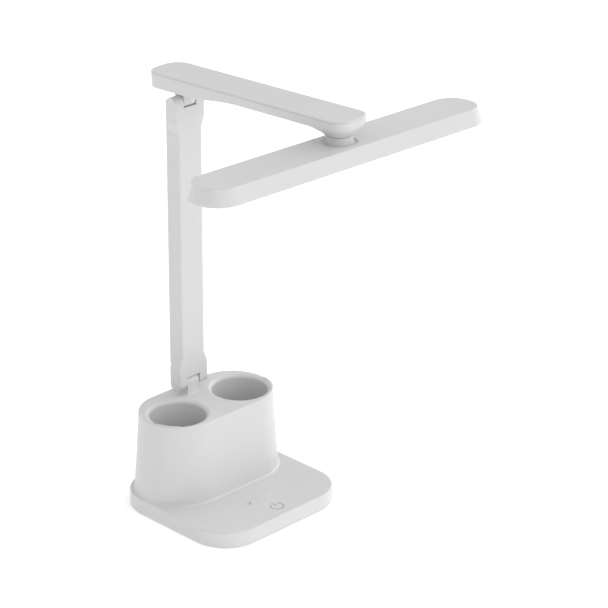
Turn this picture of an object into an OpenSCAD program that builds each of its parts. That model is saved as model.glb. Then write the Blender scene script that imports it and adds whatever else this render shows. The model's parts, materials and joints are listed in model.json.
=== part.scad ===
// Folding LED desk lamp: a weighted base with a twin pen holder, a slim post,
// a flat arm and a long light bar. Two friction hinges fold it, and the bar swivels.
// Millimetres. +Z is up and -Y is the front. The origin is on the desk, under the
// middle of the base plate.

/* [Base] */
// Width of the base plate
base_w = 140; // [138:1:170]
// Depth of the base plate
base_d = 132.4; // [132:0.1:160]
// Corner radius of the base plate seen from above
base_corner_r = 32.4; // [26:0.1:34]
// Height of the plate's top face above the desk
base_h = 13.9; // [13.4:0.1:16]
// Wall of the moulded base
base_wall = 2.4; // [2:0.1:2.6]
// Rounding along the plate's upper edge
base_edge_r = 1.2; // [0.6:0.1:2.2]
// Air gap that the feet leave under the base
foot_gap = 0.8; // [0.6:0.1:1.2]
// Thickness of the bottom cover
cover_t = 2; // [1.8:0.1:2.2]
// Radius of a rubber foot
foot_r = 7; // [5:0.5:8]

/* [Pen holder] */
// Height of the pen holder's top above the desk
holder_h = 82.5; // [70:0.1:95]
// Radius of the pen holder's round ends at the top
holder_r = 33.9; // [33.6:0.1:34.1]
// Distance from the middle to the centre of each round end
holder_c = 29; // [28.6:0.1:30]
// How far the holder lies behind the middle of the plate
holder_y = 28.9; // [28.4:0.1:29.1]
// How much the walls spread from top to bottom
holder_draft = 3.1; // [2.2:0.1:3.2]
// Rounding along the holder's upper edge
holder_edge_r = 1.2; // [0.6:0.1:1.4]
// Radius of the blend between holder and plate
holder_foot_r = 4.5; // [2:0.5:6]
// Radius of each pen cup
cup_r = 25; // [23:0.1:25.2]
// Distance from the middle to the axis of each cup
cup_x = 34.6; // [34:0.1:34.8]
// How far the cup axes lie behind the middle of the plate
cup_y = 25.5; // [25.1:0.1:26.6]
// Height of the cup floors above the desk
cup_floor = 25.8; // [25:0.2:40]
// Rounding of the cup's rim
cup_lip_r = 0.7; // [0.5:0.1:1]
// Rounding between the cup's wall and floor
cup_floor_r = 4; // [1:0.5:8]

/* [Plate details] */
// Length of the raised phone stop
stop_l = 26; // [15:1:60]
// Width of the phone stop
stop_w = 3; // [2:0.2:6]
// Height of the phone stop above the plate
stop_h = 1.6; // [1:0.1:3]
// How far the phone stop lies in front of the middle
stop_y = 35; // [30:1:40]
// How far the touch key lies in front of the middle
key_y = 52; // [50:0.5:54]

/* [Hinges] */
// How far the hinge axes lie behind the middle of the plate
hinge_y = 49; // [46:0.5:50]
// Height of the lower hinge axis above the holder's top
hinge_rise = 10.6; // [10.2:0.1:16]
// Distance between the two hinge axes
post_l = 241.9; // [180:0.1:300]
// Half thickness of the hinge tongues, which is also their end radius
tongue_r = 5.2; // [4.6:0.1:5.3]
// Width of the hinge tongues
tongue_w = 12.6; // [11:0.2:13.6]
// Side gap between a tongue and its fork, room for a spring washer
tongue_gap = 0.5; // [0.4:0.05:0.8]
// Gap between a tongue's round end and the fork's web
web_gap = 0.4; // [0.3:0.05:0.8]
// Radius of the steel hinge pins
pin_r = 2; // [1.5:0.1:2.4]
// Radial running clearance of the pins, the screws and the swivel
run_gap = 0.05; // [0.02:0.01:0.09]

/* [Post] */
// Width of the post between its ends
post_w = 24.8; // [20:0.2:25.4]
// Width of the post's ends, which fork round the tongues
fork_w = 31.6; // [29:0.2:34]
// Depth of the post's front shell
shell_d = 11; // [10.8:0.1:12]
// Thickness of the rear cover outside the shell
rear_t = 4.7; // [3:0.1:5.2]
// Height of a fork's straight part beyond its hinge axis
fork_l = 14.5; // [13:0.5:24]
// Length of the slope between an end and the middle
slope_l = 9.5; // [6:0.5:16]
// Rounding of the post's upright edges
post_edge_r = 1.6; // [0.6:0.1:2]
// Wall of the post
post_wall = 2.2; // [1.8:0.1:2.6]
// Width of the shadow seam between front shell and rear cover
seam = 0.4; // [0.2:0.05:0.5]

/* [Arm] */
// Rest angle of the arm above level
arm_pitch = 2.55; // [0:0.05:8]
// Length of the arm
arm_l = 214.3; // [205:0.1:235]
// Length of the arm behind the upper hinge
arm_tail = 26.9; // [20:0.1:28]
// Width of the arm
arm_w = 35.6; // [35.4:0.2:42]
// Corner radius of the arm seen from above
arm_corner_r = 13.3; // [8:0.1:15]
// Height of the arm's top above the upper hinge axis
arm_top = 23.5; // [22.8:0.1:30]
// Thickness of the arm at the hinge
arm_thick = 12.7; // [11.8:0.1:12.9]
// Thickness of the arm's slim part
arm_thin = 8.2; // [7.6:0.1:9.6]
// Distance from the hinge to the middle of the arm's sweep
sweep_at = 47.5; // [44:0.5:80]
// Length of the sweep between the thick and the slim part
sweep_l = 65; // [30:1:66]
// Wall of the arm
arm_wall = 2; // [1.6:0.1:2.2]
// Thickness of the top cover's visible edge
lid_edge = 1.1; // [0.8:0.1:1.4]
// Thickness of the top cover's skin
lid_skin = 1.5; // [1.5:0.1:2]
// Height of the hairline seam under the top cover
lid_seam = 0.15; // [0.05:0.05:0.3]

/* [Swivel] */
// Distance from the arm's front end to the swivel axis
swivel_in = 19; // [18.6:0.1:30]
// How far the funnel reaches down from the arm's slim part
funnel_h = 7.2; // [5:0.1:7.6]
// Radius of the funnel's lower end
funnel_r = 10.8; // [10.6:0.1:12]
// Radius at which the funnel runs out into the arm's underside
funnel_wide = 23; // [20:0.5:26]
// Radius of the neck between funnel and light bar
neck_r = 10.4; // [9.8:0.1:10.6]
// Gap between the funnel and the neck
neck_gap = 0.4; // [0.3:0.05:0.6]
// Radius of the hollow stem inside the funnel
stem_r = 5.6; // [5.2:0.1:5.8]
// Radius of the wire way through the stem
wire_way_r = 3.2; // [2:0.1:3.4]
// Width of the ring groove round the neck
ring_w = 3.2; // [1:0.1:4]
// Depth of the ring groove
ring_d = 1.2; // [0.6:0.1:1.4]
// Turn of the light bar about the swivel as it stands
bar_turn = -2.4; // [-5:0.1:5]

/* [Light bar] */
// Length of the light bar's top face
bar_l = 275.3; // [220:0.1:340]
// Width of the light bar's top face
bar_w = 39.4; // [38:0.1:50]
// Corner radius of the light bar's top face
bar_corner_r = 17.9; // [16:0.1:18.4]
// Height of the light bar
bar_h = 13.2; // [12.6:0.1:18]
// How much the bar's walls spread from top to bottom
bar_draft = 3.1; // [1.5:0.1:4]
// Rounding of the light bar's upper edge
bar_edge_r = 0.9; // [0.5:0.1:1.8]
// Distance from the arm's top down to the light bar's top
bar_drop = 21.3; // [20.8:0.1:24]
// Wall of the light bar
bar_wall = 2; // [1.6:0.1:2.4]
// Thickness of the opal diffuser
diffuser_t = 1.8; // [1.2:0.1:2.2]
// Number of light-emitting chips in a row
led_count = 24; // [12:1:30]
// Number of rows of chips
led_rows = 2; // [1:1:2]

/* [Hidden] */
$fn = 96;
cut = 1;                      // how far a cutting shape runs past the face it opens
lap = 0.5;                    // how deep one joined shape enters the next
seat_gap = 0.2;               // side gap between a piece and its pocket
white = "#ececea";
steel = "#b9bcc0";

// Small fasteners
screw_r = 1.25;
screw_hole_r = screw_r + 0.25;
screw_boss_r = screw_r + 2.4;
screw_head_r = 2.6;
screw_head_h = 1.5;
screw_bite = 4.5;             // how deep a screw enters its boss
board_bite = 3;
neck_bite = 4.4;

// Base: levels above the desk, then places of screws and feet
plate_inside = base_h - base_wall;
cover_top = foot_gap + cover_t;
pad_r = 5;
pad_top = cover_top + 1.4;
head_seat = foot_gap + 0.3 + screw_head_h;
foot_seat = 1;
cup_under = cup_floor - 2.4;
well_r = cup_r + 3.4;
screw_x = 36;
screw_y_front = -48;
screw_y_rear = 46;
foot_x = base_w/2 - 17;
foot_y = base_d/2 - 19;
root_w = tongue_w + 8;
root_h = 16;

// Parts inside the base
ballast_w = 112;
ballast_d = 50;
ballast_t = 4.2;
ballast_y = -34;
ballast_corner_r = 22;
cell_r = 9.1;
cell_l = 65;
cell_y = 15;
cell_z = cover_top + cell_r;
cradle_x = 0.36*cell_l;
board_w = 52;
board_d = 20;
board_t = 1.6;
board_y = base_d/2 - base_wall - 2.3 - board_d/2;
board_z = cover_top + 1.8;
board_top = board_z + board_t;
board_post_x = board_w/2 - 4;
board_post_y = board_d/2 - 4;
plug_y = board_y - board_post_y;
usb_w = 8.9;
usb_h = 3.2;
usb_l = 7.3;
usb_z = board_top + usb_h/2;
usb_slot_gap = 0.4;
touch_w = 18;
touch_d = 12;
touch_t = 1;
touch_lead_r = 0.8;
touch_plug = [4, 4];          // length and width of the touch board's connector
touch_lead_y = -key_y - touch_plug[1]/2;
touch_lead_x = -44;           // where the lead passes the ballast and the cell
touch_bend_r = 5;
board_plug = [5, 6, 4.8];     // the control board's connector for it
lead_r = 1.5;

// Post and hinges
lower_z = holder_h + hinge_rise;
upper_z = lower_z + post_l;
fork_r = shell_d/2;
post_front = hinge_y - fork_r;
shell_back = hinge_y + fork_r;
slot_w = tongue_w + 2*tongue_gap;
web_at = tongue_r + web_gap;
channel_start = web_at + 6;   // from a hinge axis to the channel, past the solid web
channel_front = post_front + post_wall;
rib_y = shell_back - 2.4;     // face of the ribs that the rear cover's tongue rests on
cap_r = 3.6;
cap_t = 1.6;
pin_head_r = 3.2;
pin_head_t = 1.4;
pin_head_at = fork_w/2 - cap_t - pin_head_t;
pin_tip = 2.6 - fork_w/2;
washer_t = tongue_gap - 0.2;

// Arm, measured up from the upper hinge axis
thick_at = arm_top - arm_thick;
thin_at = arm_top - arm_thin;
lid_under = arm_top - lid_edge;
skin_under = arm_top - lid_skin;
arm_rim = lid_under - lid_seam;
arm_nose = arm_l - arm_tail;
arm_middle = arm_tail - arm_l/2;
arm_post_r = 2.5;
arm_post_x = arm_w/2 - arm_wall - 5;
swivel_at = arm_nose - swivel_in;
funnel_under = thin_at - funnel_h;
funnel_floor = funnel_under + 2.4;

// Light bar and swivel, in the arm's frame
bar_top = arm_top - bar_drop;
bar_under = bar_top - bar_h;
ring_r = neck_r + ring_w;
ring_floor = bar_top - ring_d;
neck_top = funnel_under - neck_gap;
stem_top = funnel_floor + 4.4;
washer_at = funnel_floor;
washer_r = stem_r + 3.2;
nut_r = stem_r + 3.6;
funnel_space_r = nut_r + 0.8;
swivel_washer_t = 0.6;
nut_at = washer_at + swivel_washer_t;
nut_t = 2.2;
hub_r = ring_r + 2;
hub_t = 2.2;
hub_under = ring_floor - hub_t;
neck_screw_at = (neck_r + wire_way_r)/2;
diffuser_at = bar_under + 0.4;
diffuser_top = diffuser_at + diffuser_t;
led_board_t = 1.2;
led_board_top = hub_under - screw_head_h - 0.4;
led_board_under = led_board_top - led_board_t;
led_board_w = bar_w - 2*bar_wall - 8;
led_board_l = bar_l - 2*bar_wall - 12;
led_board_r = 8;
led_post_x = 0.32*led_board_l;
led_pitch = (led_board_l - 14)/led_count;
led_size = [3.5, 2.8, 0.7];

// ---------- shapes ----------

// Points of an arc about [x, y] from angle a0 to a1
function arc(x, y, r, a0, a1, n = 6) =
    [for (i = [0:n]) [x + r*cos(a0 + (a1 - a0)*i/n), y + r*sin(a0 + (a1 - a0)*i/n)]];

// Flat rounded rectangle with true arcs
module round_rect(w, d, r) {
    square([w - 2*r, d], center = true);
    square([w, d - 2*r], center = true);
    for (x = [-1, 1], y = [-1, 1]) translate([x*(w/2 - r), y*(d/2 - r)]) circle(r);
}

// Solid with a rounded-rectangle outline, whose wall follows edge, a list of [outset, height]
module slab(w, d, r, edge) {
    a = w/2 - r;
    b = d/2 - r;
    low = edge[0][1];
    high = edge[len(edge) - 1][1];
    side = concat([[0, low]], [for (p = edge) [r + p[0], p[1]]], [[0, high]]);
    for (q = [[1, 1, 0], [-1, 1, 90], [-1, -1, 180], [1, -1, 270]])
        translate([q[0]*a, q[1]*b, 0]) rotate(q[2]) rotate_extrude(angle = 90) polygon(side);
    for (turn = [0, 180])
        rotate(turn) translate([-a, b, 0]) rotate([90, 0, 90]) linear_extrude(2*a) polygon(side);
    if (b > 0) {
        for (turn = [90, 270])
            rotate(turn) translate([-b, a, 0]) rotate([90, 0, 90]) linear_extrude(2*b) polygon(side);
        translate([-a, -b, low]) cube([2*a, 2*b, high - low]);
    }
}

// Cylinder along X between two values of x
module rod_x(r, x0, x1) {
    translate([x0, 0, 0]) rotate([0, 90, 0]) cylinder(r = r, h = x1 - x0);
}

// Box between two corners
module box(low, high) {
    translate(low) cube(high - low);
}

// Tongue of a hinge: round about the hinge axis, then straight on by reach, up or down
module tongue(reach) {
    rod_x(tongue_r, -tongue_w/2, tongue_w/2);
    box([-tongue_w/2, -tongue_r, min(0, reach)], [tongue_w/2, tongue_r, max(0, reach)]);
}

module at_front_screws() {
    for (x = [-screw_x, screw_x]) translate([x, screw_y_front, 0]) children();
}

module at_rear_screws() {
    for (x = [-screw_x, screw_x]) translate([x, screw_y_rear, 0]) children();
}

module at_cover_screws() {
    at_front_screws() children();
    at_rear_screws() children();
}

module at_board_screws() {
    for (x = [-board_post_x, board_post_x]) translate([x, board_y + board_post_y, 0]) children();
}

// Four feet near the corners and one in the middle
module at_feet() {
    children();
    for (x = [-foot_x, foot_x], y = [-foot_y, foot_y]) translate([x, y, 0]) children();
}

module at_cups() {
    for (x = [-cup_x, cup_x]) translate([x, cup_y, 0]) children();
}

// ---------- base ----------

// Column with the outline of the base plate, inset by gap
module plate_column(gap, low, high) {
    slab(base_w - 2*gap, base_d - 2*gap, base_corner_r - gap, [[0, low], [0, high]]);
}

// Solid with the outline of the pen holder, whose wall follows edge
module holder_slab(edge) {
    translate([0, holder_y, 0]) slab(2*(holder_c + holder_r), 2*holder_r, holder_r, edge);
}

// Outer form of the pen holder with its blend into the plate and its rounded upper edge
module holder_form() {
    out = holder_draft + holder_foot_r;
    holder_slab(concat([[out, plate_inside]],
        arc(out, base_h + holder_foot_r, holder_foot_r, 270, 180),
        arc(-holder_edge_r, holder_h - holder_edge_r, holder_edge_r, 0, 90)));
}

// Hollow of one cup, with a rounded floor and a rounded rim
module cup_hollow() {
    rim_r = cup_r + cup_lip_r;
    rotate_extrude()
        polygon(concat([[0, cup_floor]],
            arc(cup_r - cup_floor_r, cup_floor + cup_floor_r, cup_floor_r, 270, 360),
            arc(rim_r, holder_h - cup_lip_r, cup_lip_r, 180, 90),
            [[rim_r, holder_h + cut], [0, holder_h + cut]]));
}

// Space under the cups and round their wells
module holder_space() {
    difference() {
        holder_slab([[holder_draft - base_wall, foot_gap - cut], [-base_wall, holder_h - base_wall]]);
        at_cups() translate([0, 0, cup_under]) cylinder(r = well_r, h = holder_h);
        box([-root_w/2, hinge_y - tongue_r - 3, holder_h - root_h],
            [root_w/2, hinge_y + tongue_r + 3, holder_h]);
    }
}

module phone_stop() {
    crown = stop_w/4;
    translate([0, -stop_y, 0])
        slab(stop_l, stop_w, stop_w/2,
            concat([[0, base_h - lap]], arc(-crown, base_h + stop_h - crown, crown, 0, 90, 4)));
}

// Slot in the rear wall for the charging plug
module usb_slot() {
    translate([0, base_d/2 + cut, usb_z]) rotate([90, 0, 0]) linear_extrude(base_wall + 2*cut)
        round_rect(usb_w + 2*usb_slot_gap, usb_h + 2*usb_slot_gap, usb_h/2 + 0.3);
}

module base_shell() {
    color(white) difference() {
        union() {
            difference() {
                union() {
                    slab(base_w, base_d, base_corner_r, concat([[-0.3, foot_gap], [0, foot_gap + 0.3]],
                        arc(-base_edge_r, base_h - base_edge_r, base_edge_r, 0, 90)));
                    intersection() {
                        holder_form();
                        plate_column(0, foot_gap, holder_h + cut);
                    }
                    phone_stop();
                }
                plate_column(base_wall, foot_gap - cut, plate_inside);
                holder_space();
            }
            at_front_screws() translate([0, 0, pad_top])
                cylinder(r = screw_boss_r, h = plate_inside + lap - pad_top);
            at_rear_screws() translate([0, 0, pad_top])
                cylinder(r = screw_boss_r, h = cup_under + lap - pad_top);
            translate([0, hinge_y, lower_z]) tongue(-hinge_rise - base_wall);
        }
        at_cups() cup_hollow();
        at_cover_screws() translate([0, 0, pad_top - cut])
            cylinder(r = screw_r + run_gap, h = cut + screw_bite + lap);
        translate([0, hinge_y, lower_z]) rod_x(pin_r + run_gap, -tongue_w, tongue_w);
        usb_slot();
    }
}

// Two ribs that cradle the cell on the bottom cover
module cell_cradle() {
    rib_t = 2.4;
    for (x = [-cradle_x, cradle_x])
        difference() {
            box([x - rib_t/2, cell_y - cell_r - 2, cover_top - lap],
                [x + rib_t/2, cell_y + cell_r + 2, cell_z - 2]);
            translate([0, cell_y, cell_z]) rod_x(cell_r + run_gap, x - rib_t, x + rib_t);
        }
}

module bottom_cover() {
    color("#e2e2e0") difference() {
        union() {
            plate_column(base_wall + seat_gap, foot_gap, cover_top);
            at_cover_screws() translate([0, 0, cover_top - lap])
                cylinder(r = pad_r, h = pad_top + lap - cover_top);
            for (x = [-board_post_x, board_post_x], y = [-board_post_y, board_post_y])
                translate([x, board_y + y, cover_top - lap]) cylinder(r = 2.4, h = board_z + lap - cover_top);
            cell_cradle();
        }
        at_feet() translate([0, 0, foot_gap - cut]) cylinder(r = foot_r + seat_gap, h = foot_seat + cut);
        at_cover_screws() {
            translate([0, 0, foot_gap - cut])
                cylinder(r = screw_head_r + seat_gap, h = head_seat + cut - foot_gap);
            translate([0, 0, foot_gap]) cylinder(r = screw_hole_r, h = pad_top);
        }
        at_board_screws() translate([0, 0, cover_top]) cylinder(r = screw_r + run_gap, h = board_z);
    }
}

module cover_screws() {
    color(steel) at_cover_screws() {
        translate([0, 0, head_seat - screw_head_h]) cylinder(r = screw_head_r, h = screw_head_h);
        translate([0, 0, head_seat - lap]) cylinder(r = screw_r, h = pad_top + screw_bite - head_seat);
    }
}

module rubber_feet() {
    top = foot_gap + foot_seat;
    color("#4a4a4a") at_feet() rotate_extrude()
        polygon([[0, 0], [foot_r - 0.6, 0], [foot_r, 0.6], [foot_r, top], [0, top]]);
}

module ballast_plate() {
    bevel = 0.4;
    top = cover_top + ballast_t;
    color("#7b7f84") difference() {
        translate([0, ballast_y, 0]) slab(ballast_w, ballast_d, ballast_corner_r,
            [[-bevel, cover_top], [0, cover_top + bevel], [0, top - bevel], [-bevel, top]]);
        at_front_screws() cylinder(r = pad_r + 0.8, h = top + cut);
    }
}

module battery_cell() {
    color("#2f6f9f") translate([0, cell_y, cell_z]) {
        rod_x(cell_r, -cell_l/2, cell_l/2 - 1);
        rod_x(3, cell_l/2 - 1 - lap, cell_l/2);
    }
}

module control_board() {
    color("#1f6b3a") {
        difference() {
            translate([0, board_y, board_z]) linear_extrude(board_t) round_rect(board_w, board_d, 1);
            at_board_screws() cylinder(r = screw_hole_r, h = board_top + cut);
        }
        // charging chip, inductor and the touch lead's plug
        box([-4, board_y - 5, board_top - lap], [4, board_y + 1, board_top + 1.2]);
        box([10, board_y - 6, board_top - lap], [17, board_y + 1, board_top + 3.2]);
        box([-board_w/2, plug_y - board_plug[1]/2, board_top - lap],
            [board_plug[0] - board_w/2, plug_y + board_plug[1]/2, board_top + board_plug[2]]);
    }
}

module board_screws() {
    color(steel) at_board_screws() {
        translate([0, 0, board_top]) cylinder(r = 2.2, h = 1.3);
        translate([0, 0, cover_top + 0.2]) cylinder(r = screw_r, h = board_top + lap - cover_top);
    }
}

// Charging socket: a rounded metal sleeve with a contact tongue inside
module usb_socket() {
    sleeve_t = 0.3;
    color("#c4c7ca") translate([0, base_d/2 - base_wall/2, usb_z]) rotate([90, 0, 0]) {
        difference() {
            linear_extrude(usb_l) round_rect(usb_w, usb_h, usb_h/2 - 0.1);
            translate([0, 0, -cut]) linear_extrude(usb_l + cut - lap)
                round_rect(usb_w - 2*sleeve_t, usb_h - 2*sleeve_t, usb_h/2 - 0.1 - sleeve_t);
        }
        box([-3.3, -0.35, 1], [3.3, 0.35, usb_l - lap/2]);
    }
}

module touch_board() {
    color("#2a5d8a") {
        translate([0, -key_y, plate_inside - touch_t]) linear_extrude(touch_t)
            round_rect(touch_w, touch_d, 2);
        box([-touch_w/2, -key_y - touch_plug[1], plate_inside - touch_t - 2*touch_lead_r],
            [touch_plug[0] - touch_w/2, -key_y, plate_inside - lap]);
    }
}

// Quarter bend of the thin lead about [x, y], from angle a on
module touch_bend(x, y, a) {
    translate([x, y, 0]) rotate(a) rotate_extrude(angle = 90)
        translate([touch_bend_r, 0]) circle(touch_lead_r, $fn = 24);
}

// Thin lead from the touch board to the control board, round the ballast and the cell
module touch_lead() {
    r = touch_bend_r;
    plug_x = board_plug[0]/2 - board_w/2;
    end_y = plug_y - board_plug[1]/2;
    side_x = touch_lead_x + r;
    color("#c9c9c9") translate([0, 0, plate_inside - touch_t - touch_lead_r]) {
        translate([side_x, touch_lead_y, 0]) rotate([0, 90, 0])
            cylinder(r = touch_lead_r, h = -touch_w/2 - side_x, $fn = 24);
        touch_bend(side_x, touch_lead_y + r, 180);
        translate([touch_lead_x, touch_lead_y + r, 0]) rotate([-90, 0, 0])
            cylinder(r = touch_lead_r, h = end_y - touch_lead_y - 3*r, $fn = 24);
        touch_bend(side_x, end_y - 2*r, 90);
        translate([side_x, end_y - r, 0]) rotate([0, 90, 0])
            cylinder(r = touch_lead_r, h = plug_x - r - side_x, $fn = 24);
        touch_bend(plug_x - r, end_y, 270);
    }
}

// ---------- post ----------

// Cross-section of the front shell, w wide, with rounded front edges
module shell_section(w) {
    r = post_edge_r;
    polygon(concat([[w/2, shell_back]], arc(w/2 - r, post_front + r, r, 0, -90, 4),
        arc(r - w/2, post_front + r, r, -90, -180, 4), [[-w/2, shell_back]]));
}

// Straight length of the front shell between two heights
module shell_length(w, low, high) {
    translate([0, 0, low]) linear_extrude(high - low) shell_section(w);
}

// Outside of the front shell: two forks, two slopes and the slim middle
module shell_form() {
    slice = 0.01;
    shell_length(fork_w, lower_z - fork_r, lower_z + fork_l);
    shell_length(post_w, lower_z + fork_l + slope_l, upper_z - fork_l - slope_l);
    shell_length(fork_w, upper_z - fork_l, upper_z + fork_r);
    hull() {
        shell_length(fork_w, lower_z + fork_l - slice, lower_z + fork_l);
        shell_length(post_w, lower_z + fork_l + slope_l, lower_z + fork_l + slope_l + slice);
    }
    hull() {
        shell_length(post_w, upper_z - fork_l - slope_l - slice, upper_z - fork_l - slope_l);
        shell_length(fork_w, upper_z - fork_l, upper_z - fork_l + slice);
    }
}

// Side view of the front shell, round about both hinge axes
module shell_side_view() {
    translate([post_front, lower_z]) square([shell_d, post_l]);
    for (z = [lower_z, upper_z]) translate([hinge_y, z]) circle(fork_r);
}

module post_front_shell() {
    rib_t = 2;
    color(white) {
        difference() {
            intersection() {
                shell_form();
                translate([-fork_w, 0, 0]) rotate([90, 0, 90]) linear_extrude(2*fork_w) shell_side_view();
            }
            // slots for the two tongues
            box([-slot_w/2, post_front - cut, lower_z - fork_r - cut],
                [slot_w/2, shell_back + cut, lower_z + web_at]);
            box([-slot_w/2, post_front - cut, upper_z - web_at],
                [slot_w/2, shell_back + cut, upper_z + fork_r + cut]);
            // channel, open at the back, and the wire ways through the webs
            box([post_wall - post_w/2, channel_front, lower_z + channel_start],
                [post_w/2 - post_wall, shell_back + cut, upper_z - channel_start]);
            for (z = [lower_z + web_at - cut, upper_z - channel_start - cut])
                translate([0, hinge_y, z]) cylinder(r = 2.2, h = channel_start - web_at + 2*cut);
            for (z = [lower_z, upper_z]) translate([0, hinge_y, z]) {
                rod_x(pin_r + run_gap, pin_tip - 0.2, fork_w);
                rod_x(cap_r + run_gap, pin_head_at, fork_w);
            }
        }
        // ribs across the channel, which the rear cover rests on
        for (part = [0.25, 0.5, 0.75])
            translate([0, 0, lower_z + part*post_l])
                box([post_wall - post_w/2 - lap, channel_front + 2*lead_r + lap, -rib_t/2],
                    [post_w/2 - post_wall + lap, rib_y, rib_t/2]);
    }
}

// Rear cover: a shallow strip with rounded edges and a tongue that enters the channel
module post_rear_cover() {
    low = lower_z + fork_l + 3;
    high = upper_z - fork_l - 3;
    side = post_w/2 - post_wall - seat_gap;
    back = shell_back + rear_t;
    r = post_edge_r;
    land = 4;
    hollow_l = (high - low)/4 - 2*land;
    color(white) difference() {
        union() {
            translate([0, 0, low]) linear_extrude(high - low)
                polygon(concat([[-post_w/2, shell_back + seam], [post_w/2, shell_back + seam]],
                    arc(post_w/2 - r, back - r, r, 0, 90, 4), arc(r - post_w/2, back - r, r, 90, 180, 4)));
            box([-side, rib_y, low + 2], [side, shell_back + seam + lap, high - 2]);
        }
        // four hollows behind the skin, with lands between them that meet the ribs
        for (i = [0:3])
            translate([0, 0, low + i*(high - low)/4 + land])
                box([1.6 - side, rib_y - cut, 0], [side - 1.6, back - post_wall, hollow_l]);
    }
}

// Lead that runs up the post's channel
module post_lead() {
    color("#d8d8d8") translate([0, channel_front + lead_r, lower_z + channel_start])
        cylinder(r = lead_r, h = post_l - 2*channel_start, $fn = 24);
}

// ---------- hinge hardware ----------

module hinge_pin(z) {
    color("#9fa3a8") translate([0, hinge_y, z]) {
        rod_x(pin_r, pin_tip, pin_head_at + lap);
        rod_x(pin_head_r, pin_head_at, pin_head_at + pin_head_t);
    }
}

module washer_pair(z) {
    middle = tongue_w/2 + tongue_gap/2;
    color("#b4a06a") translate([0, hinge_y, z])
        for (x = [-middle, middle]) difference() {
            rod_x(tongue_r - 0.4, x - washer_t/2, x + washer_t/2);
            rod_x(pin_r + run_gap, x - cut, x + cut);
        }
}

module pin_cap(z) {
    color(white) translate([0, hinge_y, z]) rod_x(cap_r, fork_w/2 - cap_t, fork_w/2);
}

module lower_hinge_pin() { hinge_pin(lower_z); }
module upper_hinge_pin() { hinge_pin(upper_z); }
module lower_washers() { washer_pair(lower_z); }
module upper_washers() { washer_pair(upper_z); }
module lower_pin_cap() { pin_cap(lower_z); }
module upper_pin_cap() { pin_cap(upper_z); }

// ---------- arm ----------

// Places children from the arm's own frame: origin on the upper hinge axis, front along -Y
module on_arm() {
    translate([0, hinge_y, upper_z]) rotate([-arm_pitch, 0, 0]) children();
}

// Outline of the arm from above, inset by gap
module arm_plan(gap) {
    translate([0, arm_middle]) round_rect(arm_w - 2*gap, arm_l - 2*gap, arm_corner_r - gap);
}

// Side view of the arm below high: thick at the hinge, then an S-shaped sweep into the slim
// part, with the whole underside raised by lift
module arm_side_view(lift, high) {
    rise = (thin_at - thick_at)/2;
    r = (pow(sweep_l/2, 2) + rise*rise)/(2*rise);
    turn = asin(sweep_l/2/r);
    tail_r = 3;
    polygon(concat([[arm_tail, high], [-arm_nose, high], [-arm_nose, thin_at + lift]],
        arc(-sweep_at - sweep_l/2, thin_at + lift - r, r, 90, 90 - turn),
        arc(-sweep_at + sweep_l/2, thick_at + lift + r, r, 270 - turn, 270),
        arc(arm_tail - tail_r, thick_at + lift + tail_r, tail_r, 270, 360)));
}

// The arm without boss and tongue, inset by wall at the sides and underneath
module arm_form(wall, high) {
    intersection() {
        translate([0, 0, thick_at - cut]) linear_extrude(high + 2*cut - thick_at) arm_plan(wall);
        translate([-arm_w, 0, 0]) rotate([90, 0, 90]) linear_extrude(2*arm_w) arm_side_view(wall, high);
    }
}

// Places children from the light bar's own frame: origin on the swivel axis, turned with the bar
module on_swivel() {
    on_arm() translate([0, -swivel_at, 0]) rotate(bar_turn) children();
}

// Posts that the top cover rests on, from the arm's floor up
module arm_posts() {
    for (x = [-arm_post_x, arm_post_x]) {
        for (y = [arm_tail - 14, -12])
            translate([x, y, thick_at + lap]) cylinder(r = arm_post_r, h = skin_under - lap - thick_at);
        translate([x, -sweep_at - sweep_l/2 - 20, thin_at + lap])
            cylinder(r = arm_post_r, h = skin_under - lap - thin_at);
    }
}

// Funnel under the arm's front end, which narrows in a hollow curve, inside the arm's outline
module funnel() {
    n = 8;
    wide = funnel_wide - funnel_r;
    intersection() {
        on_swivel() rotate_extrude()
            polygon(concat([[0, funnel_under]],
                [for (i = [0:n]) [funnel_r + wide*i/n, thin_at - funnel_h*pow(1 - i/n, 2)]],
                [[funnel_wide, thin_at + lap], [0, thin_at + lap]]));
        on_arm() translate([0, 0, funnel_under - cut]) linear_extrude(funnel_h + 3*cut) arm_plan(0);
    }
}

module arm_shell() {
    color(white) difference() {
        union() {
            difference() {
                union() {
                    on_arm() arm_form(0, arm_rim);
                    funnel();
                }
                on_arm() arm_form(arm_wall, arm_rim + cut);
                on_swivel() translate([0, 0, funnel_floor])
                    cylinder(r = funnel_space_r, h = thin_at + arm_wall + cut - funnel_floor);
            }
            on_arm() tongue(thick_at + arm_wall + 2);
            on_arm() arm_posts();
        }
        on_arm() rod_x(pin_r + run_gap, -tongue_w, tongue_w);
        on_swivel() translate([0, 0, funnel_under - cut])
            cylinder(r = stem_r + run_gap, h = funnel_floor - funnel_under + 2*cut);
    }
}

module arm_top_cover() {
    gap = arm_wall + seat_gap;
    lip = gap + 1.2;
    lip_under = lid_under - 2;
    edge_r = lid_edge - 0.1;
    color(white) on_arm() translate([0, arm_middle, 0]) difference() {
        union() {
            slab(arm_w, arm_l, arm_corner_r, concat([[0, lid_under]],
                arc(-edge_r, arm_top - edge_r, edge_r, 0, 90)));
            slab(arm_w - 2*gap, arm_l - 2*gap, arm_corner_r - gap, [[0, lip_under], [0, lid_under]]);
        }
        slab(arm_w - 2*lip, arm_l - 2*lip, arm_corner_r - lip, [[0, lip_under - cut], [0, skin_under]]);
    }
}

// Lead along the arm's floor
module arm_lead() {
    color("#d8d8d8") on_arm() translate([0, funnel_space_r + 1 - swivel_at, thin_at + arm_wall + lead_r])
        rotate([-90, 0, 0]) cylinder(r = lead_r, h = swivel_at - funnel_space_r - tongue_r - 3, $fn = 24);
}

// ---------- swivel ----------

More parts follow.
